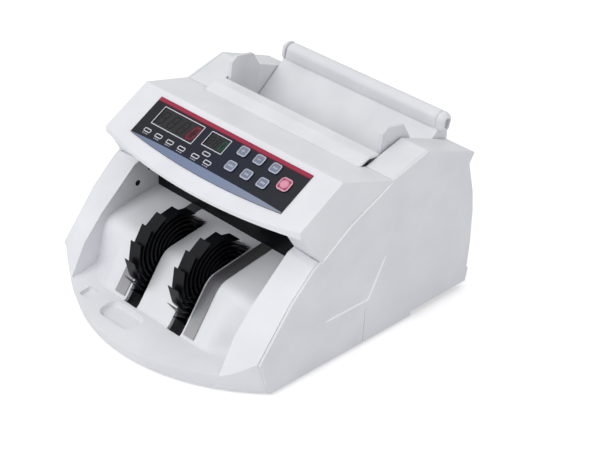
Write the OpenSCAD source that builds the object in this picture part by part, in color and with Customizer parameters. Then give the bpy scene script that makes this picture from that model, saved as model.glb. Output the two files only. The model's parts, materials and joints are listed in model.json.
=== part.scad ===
// Table-top banknote counting machine, a friction-feed counter with a two-wheel stacker.
// Millimetres. +X is the machine's right, +Y its back and +Z up.
// The origin is on the table, under the middle of the machine.

/* [Housing] */
// Width over the two side panels
body_w = 250; // [242:1:262]
// Wall of the moulded covers
wall = 2.5; // [2:0.1:3]
// Gap between covers that fit together
fit = 0.2; // [0.1:0.05:0.3]
// Height of the rubber feet
foot_h = 2.5; // [2:0.5:4]
// Diameter of a rubber foot
foot_d = 18; // [12:1:24]
// Radius of the bowed front, seen from above
front_r = 180; // [170:1:200]
// Width of the stacker tray between its walls
tray_w = 190; // [180:1:196]
// Width of the hopper between its walls
hopper_w = 188; // [180:1:190]

/* [Chassis] */
// Thickness of the base plate
plate_t = 1.2; // [1:0.1:2]
// Thickness of a side frame
frame_t = 1.5; // [1:0.1:2.5]
// Distance between the side frames
frame_gap = 164; // [150:1:168]
// Diameter of the rods that tie the frames together
tie_d = 6; // [5:0.5:8]

/* [Stacker] */
// Radius at the tips of a stacker wheel
wheel_r = 41.7; // [38:0.1:42]
// Width of a stacker wheel
wheel_w = 13; // [9:0.5:15]
// Distance from the middle of the machine to a stacker wheel
wheel_x = 27.5; // [24:0.5:32]
// Radius of a stacker wheel's hub
wheel_hub_r = 13; // [10:0.5:16]
// Number of vanes on a stacker wheel
vane_count = 16; // [8:1:20]
// Thickness of a vane
vane_t = 1.4; // [1:0.1:2]
// Width of a tray slot beside its wheel, each side
slot_gap = 1.5; // [1:0.1:3]
// Width of a steel tray rail
rail_w = 12.2; // [8:0.1:14]
// Thickness of a steel tray rail
rail_t = 0.6; // [0.4:0.1:1]

/* [Note transport] */
// Diameter of the driven shafts
shaft_d = 8; // [6:0.5:9]
// Outside diameter of a shaft bush
bush_d = 14; // [12:0.5:15]
// Length of a shaft bush
bush_l = 5; // [4:0.5:8]
// Radius of the feed rollers
feed_r = 17; // [15:0.1:17]
// Radius of the pickup rollers
pickup_r = 15; // [13:0.1:15.5]
// Radius of the accelerator rollers
accel_r = 13; // [11:0.1:13]
// Radius of the pinch rollers
pinch_r = 7; // [5:0.1:7]
// Diameter of the pinch roller axle
pinch_d = 5; // [4:0.5:6]
// Radius of the retard roller
retard_r = 9; // [8:0.1:9]
// Width of a roller
roller_w = 14; // [10:0.5:18]
// Distance from the middle of the machine to an outer roller
roller_x = 30; // [26:0.5:40]
// Gap between a roller and the roller it works against
nip = 0.35; // [0.3:0.05:0.6]
// Width of a belt
belt_w = 3.6; // [3:0.1:4]
// Thickness of a belt
belt_t = 1.2; // [0.8:0.1:1.4]

/* [Hopper] */
// Thickness of a note guide
guide_t = 3.5; // [2.5:0.1:5]
// Travel of a note guide towards the middle
guide_travel = 24; // [10:1:40]
// Diameter of the rods that the guides slide on
guide_rod_d = 4; // [3:0.5:4.5]

/* [Control panel] */
// Thickness of the printed overlay
overlay_t = 0.6; // [0.4:0.1:0.8]
// Width of the printed overlay
overlay_w = 184; // [180:1:200]
// Side of a square key
key_w = 10.5; // [9:0.1:13]
// Travel of a key
key_travel = 0.4; // [0.2:0.05:0.5]
// Width of the four-digit window
count_w = 50.6; // [46:0.1:54]
// Height of the four-digit window
count_h = 18.6; // [14:0.1:19]
// Width of the batch window
batch_w = 23.6; // [20:0.1:25]
// Height of the batch window
batch_h = 14.4; // [12:0.1:16]

/* [Drive] */
// Diameter of the drive motor
motor_d = 46; // [36:1:50]
// Length of the drive motor
motor_l = 58; // [40:1:62]
// Radius of the pulleys on the accelerator and on the motor
drive_pulley_r = 9; // [7:0.1:10]
// Radius of the feed shaft's driven pulley
feed_pulley_r = 11; // [9:0.1:12]
// Radius of the stacker shaft's pulley
stack_pulley_r = 8; // [6:0.1:8]
// Radius of the motor's pulley for the stacker
slow_pulley_r = 6; // [5:0.1:8]

/* [Mains lead] */
// Diameter of the lead
lead_d = 7; // [5:0.5:7.5]
// Diameter of a plug pin
pin_d = 4; // [3.5:0.1:5]
// Distance between neighbouring plug pins
pin_pitch = 9.5; // [9:0.1:10]

/* [Hidden] */
$fn = 32;
soft_fn = 32; // for hulls

moving_gap = 0.5; // between the lid and what it swings past
running_gap = 0.05; // radial, between a shaft or rod and its bore
static_gap = 0.02; // radial, between two pieces pressed together

side_x = body_w / 2; // outside of a side panel
side_in = side_x - wall;
cover_x = side_in - fit; // outside of what lies between the side panels
tray_x = tray_w / 2;
hopper_x = hopper_w / 2;
frame_x = frame_gap / 2;
base_z = foot_h;
plate_top = base_z + plate_t;
skirt_z = base_z + 3.5; // lower edge of the raised rear skirt

// Points of the side view, each [y, z]
front_lean = 16.2; // degrees that the bowed front leans forward
front_y = -139; // front of the bow at the base
band_corner = [-98, 33.5];
shoulder = [[-78, 57.3], [-63, 75.1], [-41, 94.8], [-33.5, 99.6], [-0.2, 121]];
deck_front = [44.8, 141.6];
deck_top = [85, 152.6];
deck_rear = [141, 130.6];
rear_line = [[135.2, 121.9], [141.4, 93.2], [143.2, 75.2], [142.3, 43.8], [139.6, 19.8], [141.5, 18.1]];
rear_foot = [138.5, skirt_z];
skirt_y = 70; // where the raised skirt starts
apron_edge = [-150, 13.8];
tray_foot = [-102.7, 19.6];
tray_knee = [-75, 58];
tray_shelf = [-70, 62];
tray_end = [-16, 70.5];
wing_foot = [-115, 16]; // where a wing's inner edge rises from the apron
wing_foot_out = 3.7; // height of the wing's plane there, out at the side panel
wing_heights = [45.9, 67.2, 80, 99, 101.3]; // inner edge of a wing above band_corner and shoulder
ridge = [-4.8, 156.6];
lip = [-62.4, 123.8];
lip_corner = [-50.1, 130.8];
lip_r = 586; // bow of the hood's lip, seen from above
mouth_corner = [-34, 101.5];
slope_end = [37, 144];
bar_top = [49, 148.2];
bar_end = [60.3, 147.3];
hopper_floor = [99, 117.5];
hopper_crest = [128.4, 141.6];
lid_pivot = [136, 74];
lid_foot_z = 67;
face_a = atan2(ridge[1] - lip[1], ridge[0] - lip[0]); // slope of the control face
shoulder_a = atan2(deck_front[1] - shoulder[3][1], deck_front[0] - shoulder[3][0]);
hood_rise = 36.6; // height of the ridge over the shoulder line, square to it
hood_taper = 6; // how much narrower each side is at that height

// Shaft places, each [y, z]
stack_at = [-62.5, 49];
accel_at = [6, 86];
feed_at = [44, 98];
pickup_at = [80, 104];
motor_at = [60, 45];
retard_at = [47, feed_at[1] + sqrt(pow(feed_r + retard_r + nip, 2) - 9)];
pinch_at = [accel_at[0], accel_at[1] + accel_r + pinch_r + nip];
guide_rods_at = [[66, 139], [66, 127]];
tie_at = [[-30, 14], [104, 20], [-5, 60], [104, 90]];
belt_lane = frame_t + 2.5; // from a frame's inner face to the first belt
lane_pitch = belt_w + 1.2;
lane_in = frame_x + belt_lane;
lane_out = lane_in + lane_pitch;
shaft_end = lane_out + belt_w + 1;

// Control panel layout, each [x, distance below the ridge]
overlay_top = 6.5;
overlay_h = 39.6;
overlay_bow = 5.7;
count_at = [-54.8, 21.8];
batch_at = [-8.6, 19.7];
key_at = [[20.5, 15.7], [39.4, 15.7], [58, 15.7], [20.5, 31.6], [39.4, 31.6], [58, 31.6]];
start_key_at = [76.3, 23.6];
stem_d = 4;
board_depth = 11; // from the control face to the display board

// Mains lead and its coil
inlet_at = [-20, 22]; // [x, z]
rear_pad_y = 140.8; // flat pad of the rear panel
inlet_flange_t = 2;
inlet_y = rear_pad_y + inlet_flange_t;
inlet_depth = 22;
coil_at = [-80, 206];
coil_out = 44; // outer turn, to the middle of the lead
coil_in = 29.8;
lead_start = 203;
lead_route = [[-20, 203, 22], [-20, 208, 22], [-20, 215, 21], [-22, 223, 18], [-28, 231, 13], [-37, 239, 8.5],
    [-48, 245, 5], [-60, 248.7, 3.5], [-72.4, 249.3, 3.5]];
tail_route = [[-95, 164.6, 10.6], [-86, 161.2, 10.6], [-76, 158.6, 10.4], [-64, 157.4, 8.8], [-52, 157.2, 6],
    [-40, 157.6, 4], [-27, 158.4, 3.5], [-13, 159, 4.2], [0, 159, 6.8], [8, 159, 8], [14, 159, 8]];
plug_x = 14;
plug_y = 159;
plug_z = 8;

module along_x(x0, x1) {
    translate([x0, 0, 0]) rotate([90, 0, 90]) linear_extrude(x1 - x0) children();
}

module both_sides() {
    children();
    mirror([1, 0, 0]) children();
}

module rod(at, d, x0, x1) {
    translate([x0, at[0], at[1]]) rotate([0, 90, 0]) cylinder(d = d, h = x1 - x0);
}

module box(lo, hi) {
    translate(lo) cube(hi - lo);
}

// Solid through a list of rings, each a list of as many [x, y, z] points,
// which run anticlockwise for someone looking along the rings
module loft(rings) {
    n = len(rings[0]);
    last = len(rings) - 1;
    sides = [for (i = [0 : last - 1]) for (j = [0 : n - 1])
        let (a = i * n + j, b = i * n + (j + 1) % n, c = b + n, d = a + n)
        each [[a, b, c], [a, c, d]]];
    first_cap = [[for (j = [n - 1 : -1 : 0]) j]];
    last_cap = [[for (j = [0 : n - 1]) last * n + j]];
    polyhedron([for (r = rings) each r], concat(sides, first_cap, last_cap));
}

// Leaning drum whose front is the machine's bowed front
module front_drum(inset = 0) {
    translate([0, front_y + front_r / cos(front_lean), base_z]) rotate([front_lean, 0, 0])
        cylinder(r = front_r - inset, h = 400, center = true, $fn = 180);
}

// Places children on the sloping control face: x along it, y up the slope, z out of it
module on_face(at = [0, 0]) {
    translate([0, ridge[0], ridge[1]]) rotate([face_a, 0, 0]) translate([at[0], -at[1], 0]) children();
}

/* ---- housing ---- */

module base_plate() {
    color("lightsteelblue") difference() {
        intersection() {
            box([-cover_x + wall + fit, -140, base_z], [cover_x - wall - fit, rear_foot[0] - wall - fit, plate_top]);
            front_drum(wall + 2 * fit);
        }
        for (p = screw_at) translate([p[0], p[1], 0]) cylinder(d = screw_hole_d, h = 20);
    }
}

screw_at = [[-60, -88], [60, -88], [-105, 122], [105, 122]];
screw_d = 3;
screw_hole_d = 3.4;
foot_at = [[-85, -78], [85, -78], [-100, 105], [100, 105]];

module rubber_feet() {
    color("dimgray") for (p = foot_at) translate([p[0], p[1], 0]) cylinder(d = foot_d, h = foot_h);
}

module cover_screws() {
    color("silver") for (p = screw_at) translate([p[0], p[1], base_z - 1.6]) {
        cylinder(d = 6, h = 1.6);
        cylinder(d = screw_d, h = 11);
    }
}

module screw_boss(at, top) {
    difference() {
        translate([at[0], at[1], plate_top]) cylinder(d = 8, h = top - plate_top);
        translate([at[0], at[1], 0]) cylinder(d = screw_d + 2 * static_gap, h = base_z + 11);
    }
}

tray_profile = [[apron_edge[0], base_z - 20], apron_edge, tray_foot, tray_knee, tray_shelf, tray_end,
    [tray_end[0], base_z - 20]];

// Beside the walls the tray's front slope is set back, in a hollow that deepens from well_x to well_full_x
well_x = 65;
well_full_x = 84;
well_floor = [-85, 24.5];
well_front = [-104, 19.9];
well_back = [-76.2, 58.1];

module tray_well(inset) {
    behind = [well_front[0], well_back[1]];
    hull() {
        along_x(well_x - inset, well_x - inset + 0.1) polygon([well_front, well_back, behind]);
        along_x(well_full_x - inset, tray_x + max(fit, inset)) polygon([well_front, well_floor, well_back, behind]);
    }
}

// Stations of a wing: [y, inner height, outer height]. Under the hood it steps down.
under_hood = shoulder[3][1] - 0.6;
wing_top_y = mouth_corner[0] - fit;
wing_stations = concat(
    [[wing_foot[0], wing_foot[1], wing_foot_out], [band_corner[0], wing_heights[0], band_corner[1]]],
    [for (i = [0 : 2]) [shoulder[i][0], wing_heights[i + 1], shoulder[i][1]]],
    [[wing_top_y, wing_heights[4], under_hood], [wing_top_y + 0.1, under_hood, under_hood],
        [tray_end[0], under_hood, under_hood]]);

module wing(x0, x1, drop) {
    slope_w = side_x - tray_x;
    loft([for (s = wing_stations)
        let (z0 = s[1] + (s[2] - s[1]) * (x0 - tray_x) / slope_w - drop,
            z1 = s[1] + (s[2] - s[1]) * (x1 - tray_x) / slope_w - drop,
            y = s[0] + drop)
        [[x0, y, base_z - 20], [x1, y, base_z - 20], [x1, y, z1], [x0, y, z0]]]);
}

module front_cover() {
    color("white") {
        difference() {
            intersection() {
                union() {
                    difference() {
                        along_x(-cover_x, cover_x) polygon(tray_profile);
                        both_sides() tray_well(0);
                    }
                    both_sides() wing(tray_x, cover_x, 0);
                }
                front_drum();
                box([-side_x, -200, base_z], [side_x, tray_end[0], 200]);
            }
            intersection() {
                union() {
                    translate([0, wall, -wall]) difference() {
                        along_x(wall - cover_x, cover_x - wall) polygon(tray_profile);
                        both_sides() tray_well(wall);
                    }
                    both_sides() wing(tray_x + wall, cover_x - wall, wall);
                }
                front_drum(wall);
            }
            for (side = [-1, 1]) {
                translate([side * wheel_x, 0, 0])
                    box([-wheel_w / 2 - slot_gap, tray_foot[0] - 2, 12], [wheel_w / 2 + slot_gap, -25, 100]);
                translate([side * tray_x, 0, 0]) {
                    rod(outlet_sensor_at, outlet_sensor_d, -2 * wall, 2 * wall);
                    rod(edge_sensor_at, edge_sensor_d, -2 * wall, 2 * wall);
                }
            }
        }
        for (i = [0, 1]) screw_boss(screw_at[i], 34);
    }
}

outlet_sensor_at = [-38.3, 80.3];
outlet_sensor_d = 5.5;
edge_sensor_at = [-25.1, 89.4];
edge_sensor_d = 3;

side_outline = concat([[front_y + 50, base_z], band_corner], shoulder, [deck_front, deck_top, deck_rear],
    rear_line, [rear_foot, [skirt_y, skirt_z], [skirt_y, base_z]]);

module right_side_panel() {
    color("gainsboro") along_x(side_in, side_x) polygon(side_outline);
}

module left_side_panel() {
    mirror([1, 0, 0]) right_side_panel();
}

// Prism between the hood's two tapering sides
module hood_taper_prism(inset) {
    span = 60;
    low_w = side_x - inset + hood_taper * 20 / hood_rise;
    high_w = side_x - inset - hood_taper * span / hood_rise;
    translate([0, shoulder[3][0], shoulder[3][1]]) rotate([shoulder_a, 0, 0]) rotate([90, 0, 0])
        linear_extrude(400, center = true)
            polygon([[-low_w, -20], [low_w, -20], [high_w, span], [-high_w, span]]);
}

module lip_drum(inset) {
    translate([0, lip[0] + lip_r, 0]) cylinder(r = lip_r - inset, h = 200, $fn = 360);
}

skirt_line = [mouth_corner, [-43.7, 117.8], [-48, 125.2]]; // front edge of the hood beside the mouth
hood_profile = concat([lip, ridge, deck_front, shoulder[4], shoulder[3]], skirt_line, [[lip[0], lip[1] - wall]]);

module control_hood() {
    drop = wall / cos(face_a);
    color("white") difference() {
        intersection() {
            along_x(-side_x, side_x) polygon(hood_profile);
            hood_taper_prism(0);
            lip_drum(0);
            // sides end on the side panels
            translate([0, 0, fit]) along_x(-side_x, side_x) polygon(concat(
                [[-200, shoulder[3][1]]], [shoulder[3], shoulder[4], deck_front], [[200, deck_front[1]], [200, 300], [-200, 300]]));
        }
        intersection() {
            translate([0, 0, -drop]) along_x(-side_x, side_x)
                polygon([[lip[0] - 20, lip[1] - 20 * tan(face_a)], ridge, [deck_front[0] + 40,
                    deck_front[1] - 40 * (ridge[1] - deck_front[1]) / (deck_front[0] - ridge[0])], [100, 60], [-100, 60]]);
            hood_taper_prism(wall);
            lip_drum(wall);
            union() {
                box([-tray_x, -100, 50], [tray_x, 100, 200]);
                // behind the skirts, and open between them further back
                both_sides() along_x(tray_x + wall, side_x) polygon(concat([[-30, 50]],
                    [for (p = skirt_line) p + [1.2 * wall, 0]], [[-44, 200], [100, 200], [100, 50]]));
                box([-side_x, tray_end[0], 50], [side_x, 100, 200]);
            }
        }
        // mouth over the stacker tray
        hull() for (side = [-1, 1]) {
            translate([side * (tray_x - 4), -120, mouth_corner[1] + 12]) rotate([-90, 0, 0]) cylinder(r = 4, h = 100, $fn = soft_fn);
            translate([side * (tray_x - 4), -120, 60]) rotate([-90, 0, 0]) cylinder(r = 4, h = 100, $fn = soft_fn);
        }
        // seat of the hopper's front plate
        box([-hopper_x, slope_end[0] - fit, 100], [hopper_x, 100, 200]);
        // windows and key stems
        on_face(count_at) box([-count_w / 2 - fit, -count_h / 2 - fit, -8], [count_w / 2 + fit, count_h / 2 + fit, 8]);
        on_face(batch_at) box([-batch_w / 2 - fit, -batch_h / 2 - fit, -8], [batch_w / 2 + fit, batch_h / 2 + fit, 8]);
        for (p = concat(key_at, [start_key_at])) on_face(p) translate([0, 0, -8]) cylinder(d = stem_d + 0.6, h = 16);
    }
}

lid_x = hopper_x - 2 * moving_gap;
lid_pin_d = 5;

hopper_wall_profile = [[45, 116.5], [45, 141.4], [85, 152.3], [141, 130.3], [135.4, 121.9], [141.2, 93.2],
    [142.6, 75.2], [142.2, 66], [127, 66], [127, 108], [118, 116.5]];

deck_t = 2.7;
chute_floor = [[62, 116.2], [97.5, 118], [97.5, 116.5], [62, 114.7]];
roller_slot_gap = 1.5;

module hopper_deck() {
    front = deck_front[0] + fit;
    color("whitesmoke") difference() {
        union() {
            both_sides() {
                along_x(hopper_x, cover_x) polygon([[front, deck_front[1]], deck_top, deck_rear,
                    [deck_rear[0], deck_rear[1] - deck_t], [deck_top[0], deck_top[1] - deck_t], [front, deck_front[1] - deck_t]]);
                along_x(hopper_x, hopper_x + wall) polygon(hopper_wall_profile);
            }
            along_x(-hopper_x - 0.5, hopper_x + 0.5) polygon(chute_floor);
        }
        for (side = [-1, 1]) translate([side * roller_x, 0, 0])
            box([-roller_w / 2 - roller_slot_gap, pickup_at[0] - pickup_r, 100],
                [roller_w / 2 + roller_slot_gap, pickup_at[0] + pickup_r, 130]);
        for (p = guide_rods_at) rod(p, guide_rod_d + 2 * static_gap, -200, 200);
        rod(lid_pivot, lid_pin_d + 2 * running_gap, -200, 200);
    }
}

plate_x = 90;
screw_z = 135;
gap_screw_d = 4;

module hopper_front_plate() {
    color("gray") difference() {
        union() {
            along_x(-plate_x, plate_x) polygon([[slope_end[0], slope_end[1] - 0.1], bar_top, bar_end, [bar_end[0], 128],
                [bar_end[0] - wall, 128], [bar_end[0] - wall, bar_end[1] - wall], [bar_top[0], bar_top[1] - wall],
                [slope_end[0] + 1, slope_end[1] - wall]]);
            translate([0, bar_end[0] - 5, screw_z]) rotate([-90, 0, 0]) cylinder(d = 8, h = 5);
        }
        translate([0, 40, screw_z]) rotate([-90, 0, 0]) cylinder(d = gap_screw_d + 2 * running_gap, h = 40);
    }
}

module gap_screw() {
    color("silver") {
        translate([0, 51, screw_z]) rotate([-90, 0, 0]) cylinder(d = gap_screw_d, h = bar_end[0] + 0.4 - 51);
        translate([0, bar_end[0] + 0.35, screw_z]) rotate([-90, 0, 0]) difference() {
            cylinder(d = 8, h = 2.6);
            translate([-5, -0.5, 1.6]) cube([10, 1, 2]);
        }
    }
}

module guide_rods() {
    color("silver") for (p = guide_rods_at) rod(p, guide_rod_d, -hopper_x - 2, hopper_x + 2);
}

module right_note_guide() {
    x1 = hopper_x - 2;
    color("dimgray") difference() {
        along_x(x1 - guide_t, x1) offset(r = 1) offset(delta = -1)
            polygon([[62.3, 122], [62.3, 142], [65.5, 161.6], [71.6, 165.5], [89.9, 162.5], [97.5, 148.5], [92, 122]]);
        for (p = guide_rods_at) rod(p, guide_rod_d + 2 * running_gap, 0, 200);
    }
}

module left_note_guide() {
    mirror([1, 0, 0]) right_note_guide();
}

lid_outer = [hopper_floor, hopper_crest, [129.5, 143.5], [142, 143.5], [141.4, 131], [135.6, 121.9], [141.4, 93.2],
    [143.2, 75.2], [142.9, lid_foot_z]];
lid_skin = concat(lid_outer, [[142.9 - wall, lid_foot_z], [143.2 - wall, 75.2], [141.4 - wall, 93.2],
    [135.6 - wall, 121.7], [138.6, 130.5], [138.6, 140.8], [131.3, 140.8], [hopper_floor[0] + 1.9, hopper_floor[1] - 1.6]]);
lid_cheek = concat(lid_outer, [[131, lid_foot_z], [128, 105], [hopper_floor[0] + 3, hopper_floor[1] - 1.6]]);

// Handle bar: a hull of two rows of balls
bar_low = [135.6, 145.5];
bar_low_d = 14;
bar_high = [136.7, 149.7];
bar_high_d = 14.6;

module rear_lid() {
    color("dimgray") {
        along_x(-lid_x, lid_x) polygon(lid_skin);
        both_sides() {
            along_x(lid_x - wall, lid_x) polygon(lid_cheek);
            rod(lid_pivot, lid_pin_d, lid_x - 1, hopper_x + wall + 0.3);
        }
        hull() for (side = [-1, 1]) {
            translate([side * (lid_x - 5), bar_low[0], bar_low[1]]) scale([0.7, 1, 1]) sphere(d = bar_low_d, $fn = soft_fn);
            translate([side * (lid_x - 6), bar_high[0], bar_high[1]]) scale([0.8, 1, 1]) sphere(d = bar_high_d, $fn = soft_fn);
        }
    }
}

rear_skin = [[138, skirt_z], [138.6, 19], [141.8, 43.8], [142.7, 75.2], [140.9, 93.2], [134.9, 121.9], [138.4, 127.3]];
panel_top_z = 63;
switch_at = [24, 22]; // [x, z]

inlet_hole = [13.7, 10.2]; // half width and half height
switch_hole = [6.6, 9.9];
pad_margin = [6.3, 9.4]; // beyond the inlet's hole and the switch's
pad_y = 136.5;
pad_z = [7, 37];

module rear_hole(at, half) {
    box([at[0] - half[0], 100, at[1] - half[1]], [at[0] + half[0], 200, at[1] + half[1]]);
}

module rear_panel() {
    color("gainsboro") difference() {
        union() {
            along_x(-cover_x, cover_x)
                polygon(concat(rear_skin, [for (i = [len(rear_skin) - 1 : -1 : 0]) rear_skin[i] - [wall, 0]]));
            box([inlet_at[0] - inlet_hole[0] - pad_margin[0], pad_y, pad_z[0]],
                [switch_at[0] + switch_hole[0] + pad_margin[1], rear_pad_y, pad_z[1]]);
        }
        box([-hopper_x - wall - fit, 100, panel_top_z], [hopper_x + wall + fit, 200, 200]);
        rear_hole(inlet_at, inlet_hole);
        rear_hole(switch_at, switch_hole);
    }
}

visor_x = 100;
visor_t = 2;
visor_z = [66, 124];
note_slot_x = 84;
note_slot_z = [94, 101];

module outlet_visor() {
    front = tray_end[0] + fit;
    color("black") difference() {
        box([-visor_x, front, visor_z[0]], [visor_x, front + visor_t, visor_z[1]]);
        box([-note_slot_x, front - 1, note_slot_z[0]], [note_slot_x, front + visor_t + 1, note_slot_z[1]]);
    }
}

rail_x = 37.8;

module tray_rails() {
    up = unit(tray_knee - tray_foot);
    out = [-up[1], up[0]]; // square to the steep face
    foot = tray_foot + 0.6 * up;
    lift = static_gap;
    top = lift + rail_t;
    color("silver") both_sides() along_x(rail_x, rail_x + rail_w)
        polygon([foot + lift * out, foot + top * out, tray_knee + top * out, tray_shelf + [-rail_t / 2, top],
            tray_end + [-static_gap, top], tray_end + [-static_gap, lift], tray_shelf + [0, lift], tray_knee + lift * out]);
}

/* ---- control panel ---- */

module overlay_outline() {
    bow_n = 12;
    half = overlay_w / 2;
    polygon(concat([[half, -overlay_top], [-half, -overlay_top]],
        [for (i = [0 : bow_n]) let (u = -1 + 2 * i / bow_n)
            [u * half, -overlay_top - overlay_h - overlay_bow * (1 - u * u)]]));
}

module panel_overlay() {
    gap = 0.3;
    color("darkslateblue") on_face() difference() {
        translate([0, 0, static_gap]) linear_extrude(overlay_t) overlay_outline();
        translate([count_at[0], -count_at[1], -1]) linear_extrude(4) square([count_w - 1, count_h - 1], center = true);
        translate([batch_at[0], -batch_at[1], -1]) linear_extrude(4) square([batch_w - 1, batch_h - 1], center = true);
        for (p = key_at) translate([p[0], -p[1], -1]) linear_extrude(4)
            offset(r = 2 + gap, $fn = 24) square([key_w - 4, key_w - 5], center = true);
        translate([start_key_at[0], -start_key_at[1], -1]) cylinder(d = start_key_d + 2 * gap, h = 4);
    }
}

start_key_d = 12.5;
key_rest = 0.75; // underside of a key cap above the control face

module count_display() {
    color("maroon") on_face(count_at)
        box([-count_w / 2, -count_h / 2, -board_depth + 1.6], [count_w / 2, count_h / 2, 0]);
}

module batch_display() {
    color("darkgreen") on_face(batch_at)
        box([-batch_w / 2, -batch_h / 2, -board_depth + 1.6], [batch_w / 2, batch_h / 2, 0]);
}

module key_stem() {
    translate([0, 0, -7.9]) cylinder(d = stem_d, h = 8 + key_rest);
}

module key(i) {
    color("darkgray") on_face(key_at[i]) {
        key_stem();
        translate([0, 0, key_rest]) linear_extrude(1.1) offset(r = 2, $fn = 24) square([key_w - 4, key_w - 5], center = true);
    }
}

module key_1() { key(0); }
module key_2() { key(1); }
module key_3() { key(2); }
module key_4() { key(3); }
module key_5() { key(4); }
module key_6() { key(5); }

module start_key() {
    color("crimson") on_face(start_key_at) {
        key_stem();
        translate([0, 0, key_rest]) cylinder(d = start_key_d, h = 1.1);
    }
}

module display_board() {
    color("seagreen") on_face() {
        box([-86, -44, -board_depth], [86, -7, -board_depth + 1.6]);
        for (p = concat(key_at, [start_key_at]))
            translate([p[0], -p[1], 0]) box([-3, -3, -board_depth + 1.5], [3, 3, -board_depth + 2.4]);
        // posts up to the hood
        for (x = [-84, 84], d = [10, 41]) translate([x, -d, -board_depth + 1.5]) cylinder(d = 5, h = board_depth - 1.5 - wall);
    }
}

/* ---- chassis ---- */

frame_outline = [[-92, plate_top], [-92, 18.5], [-81.5, 20.8], [-72.6, 54], [-66, 57], [-18, 64.5], [-12.6, 65.5], [-12.6, 112.5],
    [112, 112.5], [112, plate_top]];
hub_hole_d = 24;

module side_frame() {
    difference() {
        union() {
            along_x(frame_x, frame_x + frame_t) polygon(frame_outline);
            box([frame_x - 10, -70, plate_top], [frame_x + 0.5, -20, plate_top + frame_t]);
            box([frame_x - 10, 20, plate_top], [frame_x + 0.5, 104, plate_top + frame_t]);
        }
        for (p = [stack_at, accel_at, feed_at, pickup_at]) rod(p, bush_d + 2 * static_gap, 0, 200);
        rod(pinch_at, pinch_d + 2 * running_gap, 0, 200);
    }
}

module right_side_frame() {
    color("silver") side_frame();
}

module left_side_frame() {
    color("silver") mirror([1, 0, 0]) difference() {
        side_frame();
        rod(motor_at, hub_hole_d, 0, 200);
    }
}

module tie_rods() {
    color("lightgray") for (p = tie_at) rod(p, tie_d, -frame_x, frame_x);
}

module shaft_bushes() {
    color("peru") both_sides() for (p = [stack_at, accel_at, feed_at, pickup_at]) difference() {
        union() {
            rod(p, bush_d, frame_x - bush_l + 2, frame_x + frame_t + 0.5);
            rod(p, bush_d + 3, frame_x - bush_l + 1.5, frame_x - static_gap);
        }
        rod(p, shaft_d + 2 * running_gap, 0, 200);
    }
}

board_lo = [72, 8, 10];
board_hi = [73.6, 95, 76];
board_post_d = 5;
board_post_in = 4;
relay_lo = [62, 14, 50];
relay_hi = [72.1, 34, 70];
sink_lo = [64, 42, 52];
sink_hi = [72.1, 64, 70];
capacitors_at = [[18, 28], [32, 28]]; // [y, z]
capacitor_d = 11;
capacitor_x = 56;

module main_board() {
    color("seagreen") {
        box(board_lo, board_hi);
        for (y = [board_lo[1] + board_post_in, board_hi[1] - board_post_in],
            z = [board_lo[2] + board_post_in, board_hi[2] - board_post_in])
            rod([y, z], board_post_d, board_hi[0] - 0.1, frame_x);
        box(relay_lo, relay_hi);
        box(sink_lo, sink_hi);
        for (p = capacitors_at) rod(p, capacitor_d, capacitor_x, board_lo[0] + 0.1);
    }
}

core_lo = [28, 50];
core_hi = [62, 90, 42];
core_foot = 4;
core_foot_t = 2;
winding_lo = [20, 58, 6];
winding_hi = [70, 82, 36];

module transformer() {
    color("dimgray") {
        box([core_lo[0] - core_foot, core_lo[1] - core_foot, plate_top],
            [core_hi[0] + core_foot, core_hi[1] + core_foot, plate_top + core_foot_t]);
        box([core_lo[0], core_lo[1], plate_top + core_foot_t - 0.1], core_hi);
        box([winding_lo[0], winding_lo[1], plate_top + winding_lo[2]], winding_hi);
    }
}

module drive_motor() {
    color("slategray") difference() {
        union() {
            rod(motor_at, motor_d, -frame_x + 0.1, -frame_x + motor_l);
            rod(motor_at, hub_hole_d - 2, -frame_x - frame_t, -frame_x + 1);
        }
        rod(motor_at, rotor_d + 2 * running_gap, -200, -frame_x + 20);
    }
}

rotor_d = 6;

module pulley(at, r, x) {
    rod(at, 2 * r, x, x + belt_w);
}

module motor_rotor() {
    color("silver") {
        rod(motor_at, rotor_d, -lane_out - belt_w, -frame_x + 18);
        pulley(motor_at, drive_pulley_r, -lane_in - belt_w);
        pulley(motor_at, slow_pulley_r, -lane_out - belt_w);
    }
}

module accelerator_shaft() {
    color("silver") {
        rod(accel_at, shaft_d, -lane_in - belt_w, lane_in + belt_w);
        pulley(accel_at, drive_pulley_r, -lane_in - belt_w);
        pulley(accel_at, drive_pulley_r, lane_in);
    }
}

module feed_shaft() {
    color("silver") {
        rod(feed_at, shaft_d, -frame_x - frame_t - 1, lane_out + belt_w);
        pulley(feed_at, feed_pulley_r, lane_in);
        pulley(feed_at, pickup_pulley_r, lane_out);
    }
}

pickup_pulley_r = 8;

module pickup_shaft() {
    color("silver") {
        rod(pickup_at, shaft_d, -frame_x - frame_t - 1, lane_out + belt_w);
        pulley(pickup_at, pickup_pulley_r, lane_out);
    }
}

module stacker_shaft() {
    color("silver") {
        rod(stack_at, shaft_d, -lane_out - belt_w, frame_x + frame_t + 1);
        pulley(stack_at, stack_pulley_r, -lane_out - belt_w);
    }
}

module roller(at, r, bore, x) {
    difference() {
        rod(at, 2 * r, x - roller_w / 2, x + roller_w / 2);
        rod(at, bore + 2 * static_gap, x - roller_w, x + roller_w);
    }
}

module accelerator_rollers() {
    color("dimgray") for (x = [-roller_x, 0, roller_x]) roller(accel_at, accel_r, shaft_d, x);
}

module feed_rollers() {
    color("saddlebrown") for (x = [-roller_x, 0, roller_x]) roller(feed_at, feed_r, shaft_d, x);
}

module pickup_rollers() {
    color("saddlebrown") for (x = [-roller_x, roller_x]) roller(pickup_at, pickup_r, shaft_d, x);
}

module pinch_axle() {
    color("silver") rod(pinch_at, pinch_d, -frame_x - frame_t - 1, frame_x + frame_t + 1);
}

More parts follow.
